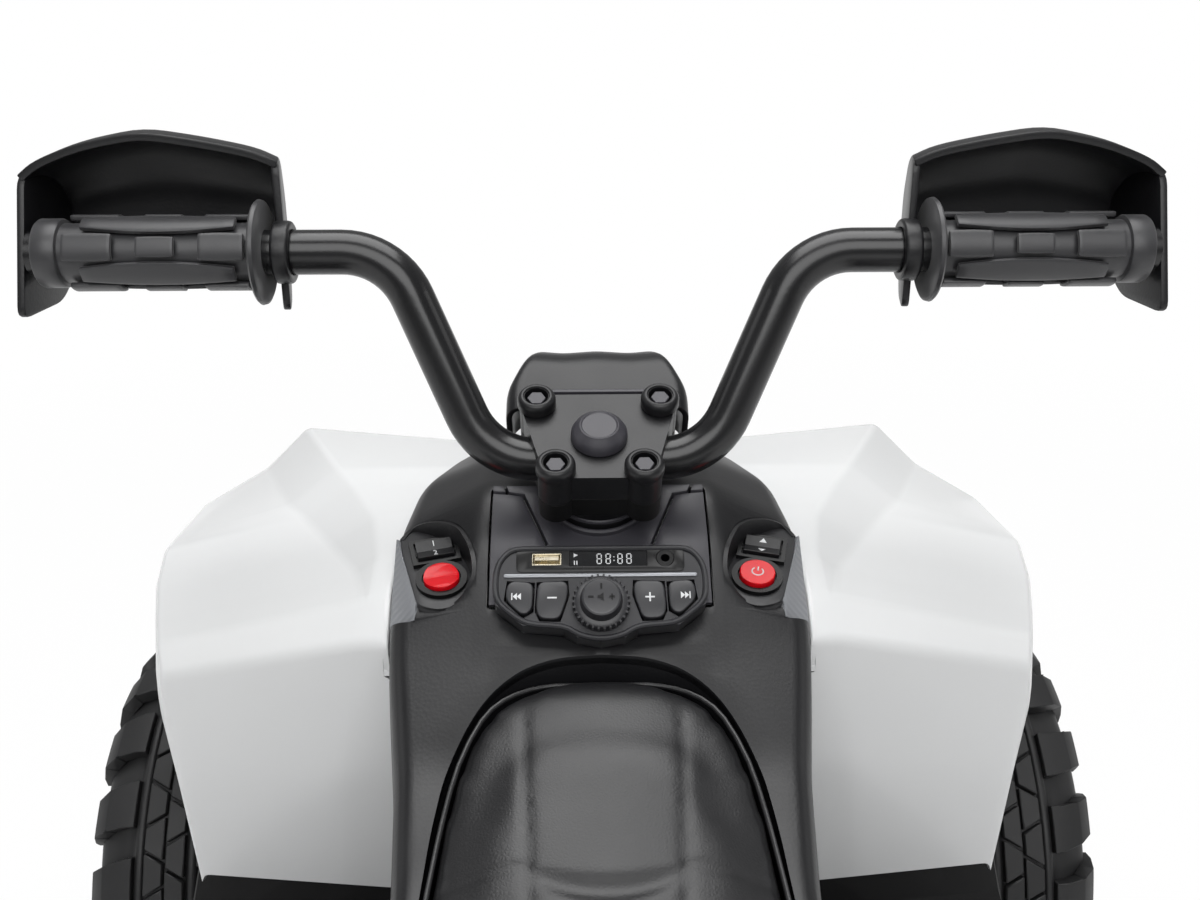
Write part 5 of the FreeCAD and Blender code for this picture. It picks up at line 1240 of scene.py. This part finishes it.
# Nodes kept as they are built, by finish, with the width of their rounded edges
KEPT = [
    (BLACK, {"tail_cowl": 1.0, "chassis_tub": 1.2, "steering_bushes": 0.6, "seat_pan": 0.8,
             "lamp_housings": 1.2, "foot_pedal": 0.8, "clamp_cap": 0.9, "drive_mode_rocker": 0.4,
             "direction_rocker": 0.4}),
    # The stem block's deeper black is partly painted shade under the clamp; the footrests share the finish
    (DEEP_BLACK_AND_SHADE, {"footrests": 0.0, "stem_block": 0.8}),
    (GLOSS_BLACK, {"switch_plates": 0.4, "aux_socket": 0.3}),
    (CONSOLE_ABS, {"console_housing": 0.6}),
    (GLASS, {"display_window": 0.2}),
    (RIM, {"rim_front_left": 1.2, "rim_front_right": 1.2, "rim_rear_left": 1.2, "rim_rear_right": 1.2}),
    (PAINTED, {"handlebar": 0.0, "front_bumper": 0.0, "rear_bumper": 0.0, "front_axle_beam": 1.0}),
    (ZINC, {"steering_column": 0.5, "knuckle_left": 0.5, "knuckle_right": 0.5, "tie_rod": 0.5,
            "rear_axle": 0.5, "kingpin_bolts": 0.5}),
    (DASH, {"clamp_bolts": 0.3}),
    (SOCKET, {"usb_socket": 0.1}),
    (CASE, {"front_drive_left": 0.8, "front_drive_right": 0.8, "rear_drives": 0.8, "battery": 1.5}),
    (RED, {"power_button": 0.5, "tail_lamps": 0.8}),
    (LENS, {"lamp_lenses": 0.8}),
]
for finish, edges in KEPT:
    for name, edge in edges.items():
        keep(name, finish, edge)


# Pale paper on the floor: white to the camera and in reflections ahead, a little darker round the object,
# and plain paper to the light that falls on it
def floor_paper():
    finish = bpy.data.materials.new("studio_floor_paper")
    finish.use_nodes = True
    tree = finish.node_tree
    tree.nodes.clear()
    ray = node(tree, "ShaderNodeLightPath", {})
    place = node(tree, "ShaderNodeTexCoord", {}).outputs["Object"]
    spot = node(tree, "ShaderNodeSeparateXYZ", {"Vector": place})
    ahead = node(tree, "ShaderNodeMapRange", {"Value": spot.outputs["Y"], "From Min": -0.8, "From Max": 0.6})
    mirror = node(tree, "ShaderNodeMath", {0: ray.outputs["Is Glossy Ray"], 1: ahead.outputs["Result"]},
                  operation="MULTIPLY")
    seen = node(tree, "ShaderNodeMath", {0: ray.outputs["Is Camera Ray"], 1: mirror.outputs["Value"]},
                operation="MAXIMUM")
    seen = node(tree, "ShaderNodeMath", {0: seen.outputs["Value"], 1: ray.outputs["Is Transmission Ray"]},
                operation="MAXIMUM")
    reach = node(tree, "ShaderNodeVectorMath", {0: place}, operation="LENGTH")
    far = node(tree, "ShaderNodeMapRange", {"Value": reach.outputs["Value"], "From Min": 0.6, "From Max": 2.2,
                                            "To Min": 0.93})
    share = node(tree, "ShaderNodeMath", {0: seen.outputs["Value"], 1: far.outputs["Result"]},
                 operation="MULTIPLY")
    paper = node(tree, "ShaderNodeBsdfDiffuse", {"Color": linear("F4F4F4")})
    glow = node(tree, "ShaderNodeEmission", {"Color": linear("FFFFFF"), "Strength": 1.0})
    mixed = node(tree, "ShaderNodeMixShader", {0: share.outputs["Value"], 1: paper.outputs["BSDF"],
                                               2: glow.outputs["Emission"]})
    node(tree, "ShaderNodeOutputMaterial", {"Surface": mixed.outputs["Shader"]})
    return finish


# Studio walls: white to the camera, a dim grey to the object that is a little lighter ahead of it
def studio_walls():
    world = bpy.data.worlds.new("studio")
    world.use_nodes = True
    tree = world.node_tree
    tree.nodes.clear()
    ray = node(tree, "ShaderNodeLightPath", {})
    seen = node(tree, "ShaderNodeMath", {0: ray.outputs["Is Camera Ray"],
                                         1: ray.outputs["Is Transmission Ray"]}, operation="MAXIMUM")
    place = node(tree, "ShaderNodeTexCoord", {}).outputs["Generated"]
    way = node(tree, "ShaderNodeSeparateXYZ", {"Vector": place})
    ahead = node(tree, "ShaderNodeMapRange", {"Value": way.outputs["Y"], "From Min": -0.3, "From Max": 0.7,
                                              "To Min": 0.26, "To Max": 0.34}, interpolation_type="SMOOTHSTEP")
    dim = node(tree, "ShaderNodeBackground", {"Color": linear("FFFFFF"), "Strength": ahead.outputs["Result"]})
    white = node(tree, "ShaderNodeBackground", {"Color": linear("FFFFFF"), "Strength": 1.0})
    mixed = node(tree, "ShaderNodeMixShader", {0: seen.outputs["Value"], 1: dim.outputs["Background"],
                                               2: white.outputs["Background"]})
    node(tree, "ShaderNodeOutputWorld", {"Surface": mixed.outputs["Shader"]})
    return world


# Floor, walls, lights and camera, in metres, watts and degrees
SOFTBOXES = [
    ("overhead", 1.5, 1.3, 25.0, (0, 0.4, 1.95), (0, 0, 0)),
    ("rear", 3.0, 2.0, 60.0, (0, -2.2, 2.3), (48, 0, 0)),
    ("left", 1.0, 1.0, 3.0, (-2.2, 0.2, 1.3), (64, 0, -90)),
    ("right", 1.0, 1.0, 3.0, (2.2, 0.2, 1.3), (64, 0, 90)),
]
CAMERA_PLACE = (-0.0106, -0.371, 0.6896)
CAMERA_TURN = (69, 0, -1.24)
FLOOR_WIDE = 160.0


def radians(turns):
    return [math.radians(degrees) for degrees in turns]


clear()
bpy.ops.mesh.primitive_plane_add(size=FLOOR_WIDE, location=(0, 0, 0))
floor = bpy.context.object
floor.name = "studio_floor"
floor.data.materials.append(floor_paper())
bpy.context.scene.world = studio_walls()

for name, wide, deep, power, spot, turns in SOFTBOXES:
    bpy.ops.object.light_add(type="AREA", location=spot, rotation=radians(turns))
    lamp = bpy.context.object
    lamp.name = "softbox_" + name
    lamp.data.shape = "RECTANGLE"
    lamp.data.size = wide
    lamp.data.size_y = deep
    lamp.data.energy = power

bpy.ops.object.camera_add(location=CAMERA_PLACE, rotation=radians(CAMERA_TURN))
camera = bpy.context.object
camera.data.lens = 36.0
camera.data.sensor_width = 36.0
camera.data.clip_start = 0.01
camera.data.clip_end = 300.0
scene = bpy.context.scene
scene.camera = camera
scene.view_settings.view_transform = "Standard"
